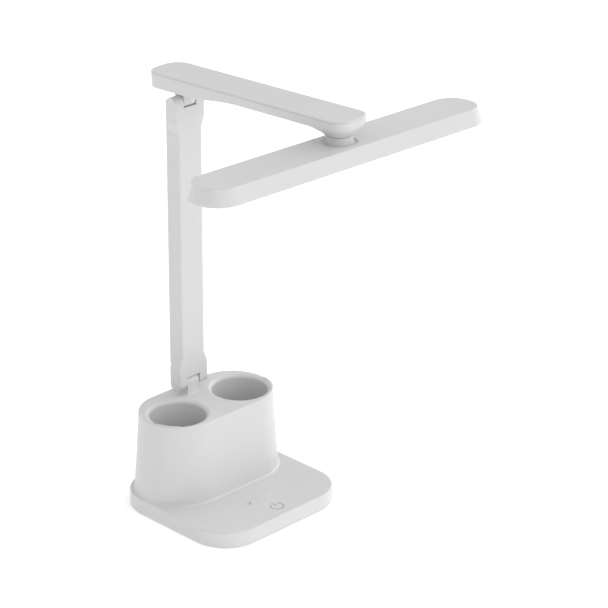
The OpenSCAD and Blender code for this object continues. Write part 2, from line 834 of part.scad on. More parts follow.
module at_neck_screws() {
    for (a = [30, 150, 270]) rotate(a) translate([neck_screw_at, 0, 0]) children();
}

// Neck: a drum that stands in the bar's ring groove, with a hollow stem into the arm
module swivel_neck() {
    edge_r = 0.8;
    color(white) on_swivel() difference() {
        rotate_extrude() polygon(concat([[wire_way_r, ring_floor], [neck_r, ring_floor]],
            arc(neck_r - edge_r, neck_top - edge_r, edge_r, 0, 90, 4),
            [[stem_r, neck_top], [stem_r, stem_top], [wire_way_r, stem_top]]));
        at_neck_screws() translate([0, 0, ring_floor - cut])
            cylinder(r = screw_r + run_gap, h = cut + neck_bite + 0.4);
    }
}

module swivel_washer() {
    color("#b4a06a") on_swivel() translate([0, 0, washer_at]) difference() {
        cylinder(r = washer_r, h = swivel_washer_t);
        translate([0, 0, -cut]) cylinder(r = stem_r + run_gap, h = 3*cut);
    }
}

module swivel_nut() {
    color("#9fa3a8") on_swivel() translate([0, 0, nut_at]) difference() {
        cylinder(r = nut_r, h = nut_t, $fn = 6);
        translate([0, 0, -cut]) cylinder(r = stem_r + run_gap, h = nut_t + 2*cut);
    }
}

module neck_screws() {
    color(steel) on_swivel() at_neck_screws() {
        translate([0, 0, hub_under - screw_head_h]) cylinder(r = screw_head_r - 0.4, h = screw_head_h);
        translate([0, 0, hub_under - lap]) cylinder(r = screw_r, h = lap + hub_t + neck_bite);
    }
}

// ---------- light bar ----------

// Solid with the outline of the bar's top face, whose wall follows edge
module bar_slab(edge) {
    slab(bar_l, bar_w, bar_corner_r, edge);
}

// Outset of the bar's inner wall at height z
function bar_inside(z) = bar_draft - bar_wall - bar_draft*(z - bar_under)/(bar_h - bar_wall);

module at_led_posts() {
    for (x = [-led_post_x, led_post_x]) translate([x, 0, 0]) children();
}

module bar_shell() {
    pad_l = 16;
    color(white) on_swivel() difference() {
        union() {
            difference() {
                bar_slab(concat(arc(bar_draft - 1, bar_under + 1, 1, 270, 360, 4),
                    arc(-bar_edge_r, bar_top - bar_edge_r, bar_edge_r, 0, 90)));
                bar_slab([[bar_inside(bar_under), bar_under - cut], [bar_inside(bar_under), bar_under],
                    [-bar_wall, bar_top - bar_wall]]);
            }
            translate([0, 0, hub_under]) cylinder(r = hub_r, h = bar_top - lap - hub_under);
            // pads that the diffuser rests on, and posts that carry the light board
            for (x = [24 - bar_l/2, bar_l/2 - 24], side = [-1, 1])
                translate([x, side*(bar_w/2 - bar_wall - 0.5), 0])
                    box([-pad_l/2, -2, diffuser_top], [pad_l/2, 2, bar_top - lap]);
            at_led_posts() translate([0, 0, led_board_top])
                cylinder(r = 3, h = bar_top - lap - led_board_top);
        }
        translate([0, 0, ring_floor]) cylinder(r = ring_r, h = ring_d + cut);
        translate([0, 0, hub_under - cut]) cylinder(r = wire_way_r, h = bar_h);
        at_neck_screws() translate([0, 0, hub_under - cut]) cylinder(r = screw_hole_r, h = bar_h);
        at_led_posts() translate([0, 0, led_board_top - cut])
            cylinder(r = screw_r + run_gap, h = cut + board_bite + lap);
    }
}

module led_board() {
    color("#d9dcdf") on_swivel() translate([0, 0, led_board_under]) difference() {
        linear_extrude(led_board_t) round_rect(led_board_l, led_board_w, led_board_r);
        at_led_posts() translate([0, 0, -cut]) cylinder(r = screw_hole_r, h = 4*cut);
    }
}

module led_chips() {
    row_pitch = led_board_w/(led_rows + 1);
    color("#f4e9a8") on_swivel()
        for (i = [0:led_count - 1], k = [0:led_rows - 1])
            translate([(i - (led_count - 1)/2)*led_pitch, (k - (led_rows - 1)/2)*row_pitch,
                led_board_under - led_size[2]])
                translate([-led_size[0]/2, -led_size[1]/2, 0]) cube(led_size);
}

module led_screws() {
    head_h = 1.2;
    color(steel) on_swivel() at_led_posts() {
        translate([0, 0, led_board_under - head_h]) cylinder(r = 2.4, h = head_h);
        translate([0, 0, led_board_under - lap]) cylinder(r = screw_r, h = lap + led_board_t + board_bite);
    }
}

module diffuser() {
    bevel = 0.4;
    color("#f7f7f2") on_swivel() bar_slab([
        [bar_inside(diffuser_at) - seat_gap - bevel, diffuser_at],
        [bar_inside(diffuser_at + bevel) - seat_gap, diffuser_at + bevel],
        [bar_inside(diffuser_top) - seat_gap, diffuser_top]]);
}

base_shell();
bottom_cover();
cover_screws();
rubber_feet();
ballast_plate();
battery_cell();
control_board();
board_screws();
usb_socket();
touch_board();
touch_lead();
post_front_shell();
post_rear_cover();
post_lead();
lower_hinge_pin();
lower_washers();
lower_pin_cap();
upper_hinge_pin();
upper_washers();
upper_pin_cap();
arm_shell();
arm_top_cover();
arm_lead();
swivel_neck();
swivel_washer();
swivel_nut();
neck_screws();
bar_shell();
led_board();
led_chips();
led_screws();
diffuser();
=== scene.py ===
# %% [markdown]
# A folding desk lamp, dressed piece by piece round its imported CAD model. The CAD model
# is the frame: it fixes every size and every joint, and nothing here moves it. The code
# thinks in millimetres, as the maker's drawing does, and turns them into Blender's
# metres in one place. Visible mouldings are worked out anew as smooth surfaces, because
# soft little edge radii are what makes a white moulding look real. Hidden parts keep
# their CAD meshes and get a finish.

# %% The frame
import bmesh
import bpy
import json
import numpy as np
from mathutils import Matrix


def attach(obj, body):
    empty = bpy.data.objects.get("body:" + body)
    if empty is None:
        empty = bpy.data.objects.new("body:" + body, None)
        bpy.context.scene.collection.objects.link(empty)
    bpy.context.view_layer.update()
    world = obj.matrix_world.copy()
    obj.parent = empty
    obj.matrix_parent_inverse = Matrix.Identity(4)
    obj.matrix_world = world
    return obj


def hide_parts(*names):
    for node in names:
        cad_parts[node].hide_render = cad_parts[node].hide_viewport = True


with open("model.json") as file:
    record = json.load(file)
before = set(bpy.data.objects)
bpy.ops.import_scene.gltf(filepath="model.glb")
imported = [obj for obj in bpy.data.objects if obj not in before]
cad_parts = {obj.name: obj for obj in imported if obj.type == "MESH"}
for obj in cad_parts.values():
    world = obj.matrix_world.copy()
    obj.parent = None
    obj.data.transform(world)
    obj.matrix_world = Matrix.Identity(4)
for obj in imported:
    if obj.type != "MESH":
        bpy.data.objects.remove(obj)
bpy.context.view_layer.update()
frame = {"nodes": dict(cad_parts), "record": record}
scene = bpy.context.scene

# %% [markdown]
# The camera stands where the photograph was taken from: 45 degrees round to the left of
# the front, looking down by 24 degrees from two metres away, through a long lens, which
# keeps the upright lines nearly parallel.

# %% Camera
lens = bpy.data.cameras.new("camera")
lens.lens = 155.566
lens.sensor_width = 36
lens.clip_end = 20
camera = bpy.data.objects.new("camera", lens)
camera.location = (-1.31762, -1.38597, 1.01938)
camera.rotation_euler = np.radians((66.1949, -0.2604, -45.2008))
scene.collection.objects.link(camera)
scene.camera = camera
print("camera distance, m:", round(float(np.linalg.norm(camera.location)), 2))

# %% [markdown]
# Two small helpers serve every finish: one turns the sRGB hex value that a paint chart
# gives into the linear light that Blender mixes, the other adds a node with its settings
# and links in one call.

# %% Colour and node helpers
def linear(code):
    """sRGB hex to linear RGBA: a channel c is c/12.92 up to 0.04045, ((c + 0.055)/1.055)^2.4 above."""
    c = np.array([int(code[i:i + 2], 16) for i in (1, 3, 5)]) / 255
    return (*np.where(c <= 0.04045, c / 12.92, ((c + 0.055) / 1.055) ** 2.4), 1.0)


def add_node(tree, kind, settings=None, **sockets):
    """One node of this kind, with its own options from settings.

    A socket gets a value, or a (node, output) pair to link. It is given by name, with _ for a
    space, or as i0, i1... where sockets share a name.
    """
    node = tree.nodes.new(kind)
    for key, value in (settings or {}).items():
        setattr(node, key, value)
    for key, value in sockets.items():
        numbered = key[0] == "i" and key[1:].isdigit()
        socket = node.inputs[int(key[1:]) if numbered else key.replace("_", " ")]
        if isinstance(value, tuple) and isinstance(value[0], bpy.types.Node):
            tree.links.new(value[0].outputs[value[1]], socket)
        else:
            socket.default_value = value
    return node


def new_material(name, roughness, **sockets):
    """A material with its Principled shader, its tree and the Object coordinates that patterns read."""
    material = bpy.data.materials.new(name)
    material.use_nodes = True
    tree = material.node_tree
    shader = tree.nodes["Principled BSDF"]
    shader.inputs["Roughness"].default_value = roughness
    for key, value in sockets.items():
        shader.inputs[key.replace("_", " ")].default_value = value
    return material, tree, shader, add_node(tree, "ShaderNodeTexCoord")


def grain(tree, coords, size_mm, detail=2.0):
    """Noise whose bumps are size_mm across: one unit is 1000 mm, so the scale is 1000 / size_mm."""
    return add_node(tree, "ShaderNodeTexNoise", Vector=(coords, "Object"),
                    Scale=1000 / size_mm, Detail=detail)


def two_tone(tree, shader, noise, dark, light, low=0.35, high=0.65):
    """Base colour that drifts between two close hex values as the noise goes from low to high."""
    ramp = add_node(tree, "ShaderNodeValToRGB", Fac=(noise, "Fac"))
    for element, place, code in zip(ramp.color_ramp.elements, (low, high), (dark, light)):
        element.position, element.color = place, linear(code)
    tree.links.new(ramp.outputs["Color"], shader.inputs["Base Color"])


def vary_roughness(tree, shader, noise, low, high):
    """Roughness that goes from low to high with the noise."""
    spread = add_node(tree, "ShaderNodeMapRange", Value=(noise, "Fac"), To_Min=low, To_Max=high)
    tree.links.new(spread.outputs["Result"], shader.inputs["Roughness"])


def add_bump(tree, shader, noise, height_mm, strength):
    """Fine relief of this height in millimetres, from a noise."""
    bump = add_node(tree, "ShaderNodeBump", Height=(noise, "Fac"), Strength=strength,
                    Distance=height_mm / 1000)
    tree.links.new(bump.outputs["Normal"], shader.inputs["Normal"])


print("hex #cacaca in linear light:", round(float(linear("#cacaca")[0]), 3))

# %% [markdown]
# The lamp is moulded in white ABS, the plastic of most small appliances. Its mould is
# spark-eroded to an even fine matt, which breaks a reflection into a soft sheen with no
# sharp image in it. The real grain is about 0.1 mm, too fine for the picture, so it is
# drawn at 0.5 mm and very shallow. A slow drift in tone, a hand's breadth across, is
# what a large moulding has where the melt cooled unevenly.

# %% White ABS, moulded with a fine matt
white_abs, tree, shader, coords = new_material("abs_white_fine_matt_moulded", 0.42, IOR=1.53)
two_tone(tree, shader, grain(tree, coords, 90.0, 1.0), "#cacaca", "#cccccc")
vary_roughness(tree, shader, grain(tree, coords, 6.0), 0.38, 0.46)
add_bump(tree, shader, grain(tree, coords, 0.5, 3.0), 0.02, 0.12)
print("made", white_abs.name)

# %% [markdown]
# The cover under the base is the same plastic in a slightly greyer batch, with a coarser
# texture, since nobody looks at it.

# %% Grey-white ABS, moulded with a coarse texture
grey_abs, tree, shader, coords = new_material("abs_grey_white_textured_moulded", 0.6, IOR=1.53)
two_tone(tree, shader, grain(tree, coords, 70.0, 1.0), "#c2c2c0", "#c8c8c6")
vary_roughness(tree, shader, grain(tree, coords, 4.0), 0.55, 0.66)
add_bump(tree, shader, grain(tree, coords, 1.0, 3.0), 0.06, 0.35)
print("made", grey_abs.name)

# %% [markdown]
# The standby sign is printed in grey ink, which dries a little smoother than the matt
# plastic under it and lets some of its grain through.

# %% Grey pad-printing ink
grey_ink, tree, shader, coords = new_material("ink_grey_pad_printed", 0.38, IOR=1.48)
two_tone(tree, shader, grain(tree, coords, 1.0), "#8f8f8f", "#999999")
add_bump(tree, shader, grain(tree, coords, 0.5), 0.01, 0.1)
print("made", grey_ink.name)

# %% [markdown]
# Feet of moulded silicone rubber: dark grey, dull, with dust that lightens it in spots.

# %% Silicone rubber, moulded
rubber, tree, shader, coords = new_material("silicone_rubber_dark_moulded", 0.75, IOR=1.41)
two_tone(tree, shader, grain(tree, coords, 2.0), "#2e2e2f", "#3c3c3c")
add_bump(tree, shader, grain(tree, coords, 0.6), 0.05, 0.3)
print("made", rubber.name)

# %% [markdown]
# The diffuser is opal polycarbonate: a milky sheet that spreads the light of the chips.
# Light enters it and comes out beside where it went in, so it gets some subsurface
# scattering over a couple of millimetres and a smoother face than the housing.

# %% Opal polycarbonate, extruded sheet
opal, tree, shader, coords = new_material("polycarbonate_opal_sheet", 0.34, IOR=1.586,
    Subsurface_Weight=0.35, Subsurface_Scale=0.002, Subsurface_Radius=(1.0, 1.0, 0.95))
two_tone(tree, shader, grain(tree, coords, 40.0, 1.0), "#e9e8e3", "#f0efea")
vary_roughness(tree, shader, grain(tree, coords, 3.0), 0.31, 0.38)
add_bump(tree, shader, grain(tree, coords, 0.8), 0.01, 0.08)
print("made", opal.name)

# %% [markdown]
# The metals inside differ mostly in colour and in the lines that their making left:
# turned pins and rolled washers shine, zinc plating has a bluish, slightly cloudy face,
# and the iron ballast keeps its dull rolled skin. One function makes them all.

# %% Metals
def metal(name, dark, light, low, high, mark_mm, relief_mm):
    """A bare metal: two close tones, roughness from low to high, and marks of mark_mm."""
    material, tree, shader, coords = new_material(name, high, Metallic=1.0)
    marks = grain(tree, coords, mark_mm)
    two_tone(tree, shader, marks, dark, light)
    vary_roughness(tree, shader, marks, low, high)
    add_bump(tree, shader, marks, relief_mm, 0.2)
    return material


zinc_steel = metal("steel_zinc_plated_screws", "#b4b8bd", "#c4c7ca", 0.28, 0.4, 1.2, 0.01)
turned_steel = metal("steel_turned_pins", "#a9adb1", "#b9bcc0", 0.18, 0.28, 0.6, 0.006)
bronze = metal("phosphor_bronze_rolled_washers", "#a98d54", "#bd9f66", 0.22, 0.34, 0.8, 0.006)
iron = metal("iron_plate_hot_rolled", "#54575b", "#6b6e73", 0.5, 0.7, 3.0, 0.05)
nickel = metal("steel_nickel_plated_socket", "#c3c4c3", "#d2d2cf", 0.15, 0.24, 0.8, 0.004)
metals = (zinc_steel, turned_steel, bronze, iron, nickel)
print("metals:", [material.name for material in metals])

# %% [markdown]
# Electronics: fibreglass boards under a glossy lacquer, where the weave just shows
# through, an aluminium board with white lacquer that throws light down, yellow phosphor
# over the chips, a shrink sleeve on the cell and soft vinyl on the leads.

# %% Boards, chips, cell and leads
def lacquered(name, dark, light, roughness, size_mm, relief_mm, coat=0.0, ior=1.5):
    """A coloured, non-metal face with a fine pattern of size_mm and, if wanted, a clear coat."""
    material, tree, shader, coords = new_material(name, roughness, IOR=ior, Coat_Weight=coat)
    pattern = grain(tree, coords, size_mm)
    two_tone(tree, shader, pattern, dark, light)
    vary_roughness(tree, shader, pattern, roughness * 0.85, roughness * 1.15)
    add_bump(tree, shader, pattern, relief_mm, 0.25)
    return material


green_board = lacquered("fibreglass_green_solder_lacquer", "#12401f", "#1a5a2c", 0.32, 0.8, 0.02,
                        coat=0.5)
blue_board = lacquered("fibreglass_blue_solder_lacquer", "#163a63", "#1f4f80", 0.32, 0.8, 0.02,
                       coat=0.5)
white_board = lacquered("aluminium_board_white_lacquer", "#d8d9d8", "#e4e4e2", 0.4, 1.2, 0.01)
phosphor = lacquered("phosphor_cast_in_silicone", "#e8d36a", "#f2e08a", 0.35, 0.6, 0.01, ior=1.41)
sleeve = lacquered("pvc_blue_shrink_sleeve", "#1d4f7d", "#25608f", 0.3, 5.0, 0.03, coat=0.3)
vinyl = lacquered("pvc_soft_grey_white_lead", "#c6c6c4", "#d0d0ce", 0.5, 1.5, 0.02)
coated = (green_board, blue_board, white_board, phosphor, sleeve, vinyl)
print("lacquered, cast and sleeved:", [material.name for material in coated])

# %% [markdown]
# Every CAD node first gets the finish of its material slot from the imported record. The
# mouldings that are made anew below take the same finishes.

# %% Finishes on the CAD nodes
finish_of_slot = {
    "white_abs": white_abs,
    "grey_abs": grey_abs,
    "screw_steel": zinc_steel,
    "black_rubber": rubber,
    "ballast_iron": iron,
    "cell_wrap": sleeve,
    "board_green": green_board,
    "board_blue": blue_board,
    "socket_steel": nickel,
    "lead_pvc": vinyl,
    "pin_steel": turned_steel,
    "spring_bronze": bronze,
    "board_aluminium": white_board,
    "led_phosphor": phosphor,
    "opal_pc": opal,
}
for row in frame["record"]["subparts"]:
    cad_node = frame["nodes"][row["node"]]
    cad_node.data.materials.clear()
    cad_node.data.materials.append(finish_of_slot[row["material_slot"]])
print("CAD nodes with a finish:", len(frame["nodes"]))

# %% [markdown]
# Each new moulding is one or more grids of points. A grid is an array of rows: the
# columns run round the piece and the rows run over its profile, from an inner edge, over
# the outside, to the other inner edge or to a pole. Where rows fall together, as at a
# pole, the doubles are merged, so nothing stays open. A skin that is left open at its
# inner edges gets its wall thickness from a modifier, as a moulding has one.

# %% Grids to meshes
WELD_M = 4e-6
SHARP_FROM_DEG = 50  # edges that turn by more are shaded as edges, the others as smooth


def grid_faces(rows, columns, closed):
    """Quads (i, j), (i, k), (i+1, k), (i+1, j) of a grid stored row by row, with k = j + 1.

    A closed grid wraps its last column to the first.
    """
    spans = columns if closed else columns - 1
    i, j = np.meshgrid(np.arange(rows - 1), np.arange(spans), indexing="ij")
    k = (j + 1) % columns
    near, far = i * columns, (i + 1) * columns
    return np.stack([near + j, near + k, far + k, far + j], -1).reshape(-1, 4)


def mould(name, grids, finish, body, stands_for=(), wall_mm=0.0):
    """A piece from grids of points in millimetres, each (points[rows, columns, 3], closed).

    Welds them, turns the faces outwards, and with wall_mm thickens an open skin inwards. The
    piece rides on its body, has its material slot and takes the place of the nodes it stands for.
    """
    points, faces, start = [], [], 0
    for grid, closed in grids:
        rows, columns = grid.shape[:2]
        points.append(grid.reshape(-1, 3))
        faces.append(grid_faces(rows, columns, closed) + start)
        start += rows * columns
    mesh = bpy.data.meshes.new(name)
    mesh.from_pydata((np.concatenate(points) / 1000).tolist(), [], np.concatenate(faces).tolist())
    work = bmesh.new()
    work.from_mesh(mesh)
    bmesh.ops.remove_doubles(work, verts=work.verts, dist=WELD_M)
    bmesh.ops.recalc_face_normals(work, faces=work.faces)
    work.to_mesh(mesh)
    open_edges = sum(edge.is_boundary for edge in work.edges)
    work.free()
    mesh.polygons.foreach_set("use_smooth", np.ones(len(mesh.polygons), bool))
    mesh.set_sharp_from_angle(angle=np.radians(SHARP_FROM_DEG))
    mesh.materials.append(finish)
    piece = bpy.data.objects.new(name, mesh)
    scene.collection.objects.link(piece)
    if wall_mm:
        wall = piece.modifiers.new("wall", "SOLIDIFY")
        wall.thickness, wall.offset, wall.use_even_offset = wall_mm / 1000, -1, False
    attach(piece, body)
    if stands_for:
        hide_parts(*stands_for)
    print(name, "faces", len(mesh.polygons), "open edges", open_edges)

# %% [markdown]
# Two ways to draw an outline seen from above. The first walks round a rounded rectangle
# and gives, for each column, the centre of its corner arc and the outward normal, so that
# a point at any outset is centre + (radius + outset) * normal: true fillets and drafts.
# The second shoots rays from a common middle and finds where each meets an outline: two
# different outlines then share their columns, which joins plate, holder and cups.

# %% Outlines
RAY_MM = 400.0
HALVINGS = 42


def corner_angles(steps):
    """Angles of the four corner arcs, each with its own end points."""
    return (np.arange(4)[:, None] * 90 + np.linspace(0, 90, steps + 1)[None]).ravel()


def outline(half_x, half_y, radius, steps=12, along=1):
    """Centres and outward normals round a rounded rectangle, anticlockwise from +x.

    Each straight side gets along - 1 extra columns, on which the centre walks from one corner
    to the next while the normal stands still.
    """
    angle = np.radians(corner_angles(steps))
    normal = np.stack([np.cos(angle), np.sin(angle)], -1).reshape(4, steps + 1, 2)
    corner = np.array([(1, 1), (-1, 1), (-1, -1), (1, -1)]) * (half_x - radius, half_y - radius)
    centre = np.repeat(corner[:, None], steps + 1, 1)
    part = np.linspace(0, 1, along + 1)[1:-1, None]
    side_centre = corner[:, None] * (1 - part) + np.roll(corner, -1, 0)[:, None] * part
    side_normal = np.repeat(normal[:, -1:], along - 1, 1)
    return (np.concatenate([centre, side_centre], 1).reshape(-1, 2),
            np.concatenate([normal, side_normal], 1).reshape(-1, 2))


def beyond(point, half, radius):
    """Signed distance from a rounded rectangle: how far outside its inner box, less the radius."""
    q = np.abs(point) - (np.asarray(half) - radius)
    return np.linalg.norm(np.maximum(q, 0), axis=-1) + np.minimum(q.max(-1), 0) - radius


def reach(direction, origin, centre, half, radius, outset=0.0):
    """Length of each ray from origin to where its signed distance from the outline is the outset.

    The interval that holds it is halved until it is far finer than a mesh needs.
    """
    low, high = np.zeros(len(direction)), np.full(len(direction), RAY_MM)
    for _ in range(HALVINGS):
        middle = (low + high) / 2
        outside = beyond(origin + middle[:, None] * direction - centre, half, radius) > outset
        low, high = np.where(outside, low, middle), np.where(outside, middle, high)
    return (low + high) / 2


def arc(r, start, end, steps):
    """Offsets (r cos a, r sin a) for angles a in degrees from start to end."""
    a = np.radians(np.linspace(start, end, steps + 1))
    return np.stack([r * np.cos(a), r * np.sin(a)], -1)


def lathe(profile, columns=96):
    """Turns a profile of (radius, height) rows about the z axis."""
    profile = np.asarray(profile, float)
    a = np.arange(columns) * 2 * np.pi / columns
    return np.stack([profile[:, :1] * np.cos(a), profile[:, :1] * np.sin(a),
                     np.repeat(profile[:, 1:], columns, 1)], -1)


def sweep_rows(line, rows):
    """Grid of centre + (radius + outset) * normal.

    line is (centre, normal, radius), and rows are (outset, height).
    """
    centre, normal, radius = line
    rows = np.asarray(rows, float)
    flat = centre[None] + (radius + rows[:, 0])[:, None, None] * normal[None]
    return np.concatenate([flat, np.broadcast_to(rows[:, 1, None, None], (*flat.shape[:2], 1))], -1)


def spine(grid_row, half_x, half_y):
    """The row of a grid drawn in to the middle line of its outline, which closes a flat face."""
    end = np.array([max(half_x - half_y, 0), max(half_y - half_x, 0)])
    middle = grid_row.copy()
    middle[:, :2] = np.clip(grid_row[:, :2], -end, end)
    return middle[None]


def at_height(flat, height):
    """Flat points (x, y) with one height added to all of them."""
    return np.concatenate([flat, np.full((len(flat), 1), height)], 1)


print("a square of 10 mm with corners of 2 mm, its reach to the right:",
      reach(np.array([(1.0, 0.0)]), np.zeros(2), np.zeros(2), (5, 5), 2)[0].round(3))

# %% [markdown]
# The base is one moulding: a low plate, a tapered pen holder that grows out of it in a
# soft fillet, and two round cups sunk into the holder's top. From the side it is a single
# profile that changes with the direction you look in, so it is built on rays from the
# holder's middle. Where plate and holder meet, the profile keeps whichever lies further
# out, and the fillet is cut off by the plate's own outline, as at the back.

# %% Base moulding: sizes and rays
FOOT_GAP, PLATE_TOP, PLATE_EDGE = 0.8, 13.9, 1.2
PLATE_HALF, PLATE_R = (70.0, 66.2), 32.4
HOLDER_MID, HOLDER_HALF, HOLDER_R = np.array([0.0, 28.9]), (62.9, 33.9), 33.9
HOLDER_TOP, HOLDER_EDGE, HOLDER_DRAFT, HOLDER_FOOT = 82.5, 1.2, 4.2, 2.0
CUP_MID, CUP_R, CUP_LIP, CUP_FLOOR, CUP_BEND = np.array([34.6, 25.5]), 23.3, 3.4, 25.8, 4.0
PLATE_WALL, RIM_TOP, UNDER_EDGE = 2.4, 3.0, 0.4
SLOT_Z, SLOT_HALF, SLOT_SPREAD, SLOT_COLUMNS = 7.8, (4.85, 2.0), 6.5, 15
LEAST_TURN, MIDDLE_TURN = 0.004, 0.003

holder_line = outline(*HOLDER_HALF, HOLDER_R, steps=20, along=9)
plate_line = outline(*PLATE_HALF, PLATE_R, steps=16)
slot_x = np.linspace(-SLOT_SPREAD, SLOT_SPREAD, SLOT_COLUMNS)
targets = np.concatenate([
    holder_line[0] + HOLDER_R * holder_line[1],
    plate_line[0] + PLATE_R * plate_line[1] - HOLDER_MID,
    np.stack([slot_x, np.full(SLOT_COLUMNS, PLATE_HALF[1] - HOLDER_MID[1])], -1),
    [(0, -1), (0, 1)]])
turn = np.sort(np.round(np.arctan2(targets[:, 1], targets[:, 0]), 6))
turn = turn[np.concatenate([[True], np.diff(turn) > LEAST_TURN])]
off_middle = np.abs(np.abs(turn) - np.pi / 2) > MIDDLE_TURN
turn = np.sort(np.concatenate([turn[off_middle], [-np.pi / 2, np.pi / 2]]))
ray = np.stack([np.cos(turn), np.sin(turn)], -1)
print("base columns:", len(turn))


def plate_at(outset):
    """Length of every ray to the plate's outline, moved outwards by the outset."""
    return reach(ray, HOLDER_MID, np.zeros(2), PLATE_HALF, PLATE_R, outset)


def holder_at(outset):
    """Length of every ray to the holder's outline, moved outwards by the outset."""
    return reach(ray, HOLDER_MID, HOLDER_MID, HOLDER_HALF, HOLDER_R, outset)

# %% [markdown]
# The skin starts at an inner rim under the plate, goes round the plate's lower edge, up its
# wall with rows close enough for the charging slot, over its upper edge and in to the
# holder's foot. There a fillet turns it up into the holder's wall, which leans in a little
# more near the foot than near the top, as the photograph shows.

# %% Base moulding: skin
SLOT_ROWS_HALF, SLOT_ROWS = 2.8, 8
DRAFT_POWER = 1.15


def base_rows():
    """Rows of (length along the ray, height), from the rim under the plate to the holder's top.

    The wall's outset is draft * (1 - t)^1.15, with t from 0 at the foot to 1 at the top.
    """
    side, foot_out = plate_at(0.0), HOLDER_DRAFT + HOLDER_FOOT
    foot = np.minimum(side, holder_at(foot_out))
    rows = [(plate_at(-PLATE_WALL), RIM_TOP), (plate_at(-PLATE_WALL), FOOT_GAP + 0.2),
            (plate_at(0.2 - PLATE_WALL), FOOT_GAP), (plate_at(-UNDER_EDGE), FOOT_GAP)]
    rows += [(plate_at(x - UNDER_EDGE), FOOT_GAP + UNDER_EDGE + z)
             for x, z in arc(UNDER_EDGE, -67.5, 0, 3)]
    slot_rows = np.linspace(SLOT_Z - SLOT_ROWS_HALF, SLOT_Z + SLOT_ROWS_HALF, SLOT_ROWS)
    edge_low = PLATE_TOP - PLATE_EDGE
    rows += [(side, z) for z in (*slot_rows, edge_low - 0.3)]
    cut_off = np.where(foot > side - 0.01, side, 0)
    rows += [(np.maximum(plate_at(x - PLATE_EDGE), cut_off), edge_low + z)
             for x, z in arc(PLATE_EDGE, 0, 90, 8)]
    start = np.maximum(rows[-1][0], foot)
    rows += [(start + (foot - start) * t, PLATE_TOP) for t in (0.03, 0.3, 0.65, 0.97, 1.0)]
    rows += [(np.minimum(side, holder_at(foot_out + x)), PLATE_TOP + HOLDER_FOOT + z)
             for x, z in arc(HOLDER_FOOT, 270, 180, 14)[1:]]
    low, high = PLATE_TOP + HOLDER_FOOT, HOLDER_TOP - HOLDER_EDGE
    rows += [(holder_at(HOLDER_DRAFT * (1 - t) ** DRAFT_POWER), low + (high - low) * t)
             for t in (0.01, 0.06, 0.12, 0.2, 0.3, 0.4, 0.55, 0.7, 0.85, 0.99)]
    rows += [(holder_at(x - HOLDER_EDGE), high + z) for x, z in arc(HOLDER_EDGE, 0, 90, 8)]
    return rows


skin = np.stack([at_height(HOLDER_MID + length[:, None] * ray, height)
                 for length, height in base_rows()])
print("base skin, rows by columns:", skin.shape[:2])

# %% [markdown]
# Behind the plate a charging plug goes in. The slot is part of the wall's own grid: the
# quads over it are left out, and the points round the hole move onto the slot's rounded
# outline, so no cutter is needed and the wall's thickness shows inside the hole.

# %% Charging slot in the rear wall
heights = skin[:, 0, 2]
first_row = int(np.argmin(np.abs(heights - (SLOT_Z - SLOT_HALF[1]))))
last_row = int(np.argmin(np.abs(heights - (SLOT_Z + SLOT_HALF[1]))))
wall_row = skin[first_row]
behind = wall_row[:, 1] > PLATE_HALF[1] - 1.0
slot_columns = np.where((np.abs(wall_row[:, 0]) < SLOT_HALF[0] + 0.3) & behind)[0]
left, right = int(slot_columns.min()), int(slot_columns.max())
window = np.zeros(skin.shape[:2], bool)
window[first_row, left:right + 1] = window[last_row, left:right + 1] = True
window[first_row:last_row + 1, left] = window[first_row:last_row + 1, right] = True
spoke = np.stack([skin[..., 0], skin[..., 2] - SLOT_Z], -1)[window]
spoke = spoke / np.linalg.norm(spoke, axis=1)[:, None]
slot_length = reach(spoke, np.zeros(2), np.zeros(2), SLOT_HALF, SLOT_HALF[1] - 0.1)
hole = slot_length[:, None] * spoke
skin[window, 0], skin[window, 2] = hole[:, 0], hole[:, 1] + SLOT_Z
print("slot grid:", last_row - first_row, "by", right - left, "quads")

# %% [markdown]
# Each half of the holder's top belongs to one cup. Straight lines run in from the half's
# border to the cup's rim, a wide soft lip turns down into the cup, and a bend at the foot
# of its wall leads to the flat floor. The two halves share the line between the cups.

# %% Holder top and cups
def cup_side(sign):
    """One half of the holder's top, ruled in to the cup's rim, then down the cup to its floor."""
    border = skin[-1]
    half = np.where(sign * border[:, 0] >= -1e-6)[0]
    around = np.arctan2(border[half, 1] - HOLDER_MID[1], sign * border[half, 0])
    edge = border[half][np.argsort(around)]
    low, high = edge[0].copy(), edge[-1].copy()
    part = np.linspace(0, 1, 19)[1:-1, None]
    loop = np.concatenate([edge, high + (low - high) * part])
    middle = np.array([sign * CUP_MID[0], CUP_MID[1]])
    away = loop[:, :2] - middle
    away = away / np.linalg.norm(away, axis=1)[:, None]

    def ring(radius, z):
        """A circle about the cup's axis at one height."""
        return at_height(middle + radius * away, z)

    rim = ring(CUP_R + CUP_LIP, HOLDER_TOP)
    rows = [loop, rim + (loop - rim) * 0.1, rim]
    low_wall, high_wall = CUP_FLOOR + CUP_BEND, HOLDER_TOP - CUP_LIP
    rows += [ring(CUP_R + CUP_LIP - x, high_wall + z) for x, z in arc(CUP_LIP, 90, 0, 12)[1:]]
    rows += [ring(CUP_R, low_wall + (high_wall - low_wall) * t) for t in (0.985, 0.66, 0.33, 0.01)]
    rows += [ring(CUP_R - CUP_BEND + x, low_wall + z) for x, z in arc(CUP_BEND, 0, -90, 10)]
    rows += [ring(r, CUP_FLOOR) for r in (CUP_R - CUP_BEND - 0.5, 12.0, 5.0, 0.0)]
    return np.stack(rows)


def split_round(grid, row0, row1, left, right):
    """The closed grid as strips that leave out the quads between two rows and two columns."""
    wrapped = np.concatenate([grid, grid[:, :1]], 1)
    return [(wrapped[:row0 + 1], False), (wrapped[row0:row1 + 1, :left + 1], False),
            (wrapped[row0:row1 + 1, right:], False), (wrapped[row1:], False)]


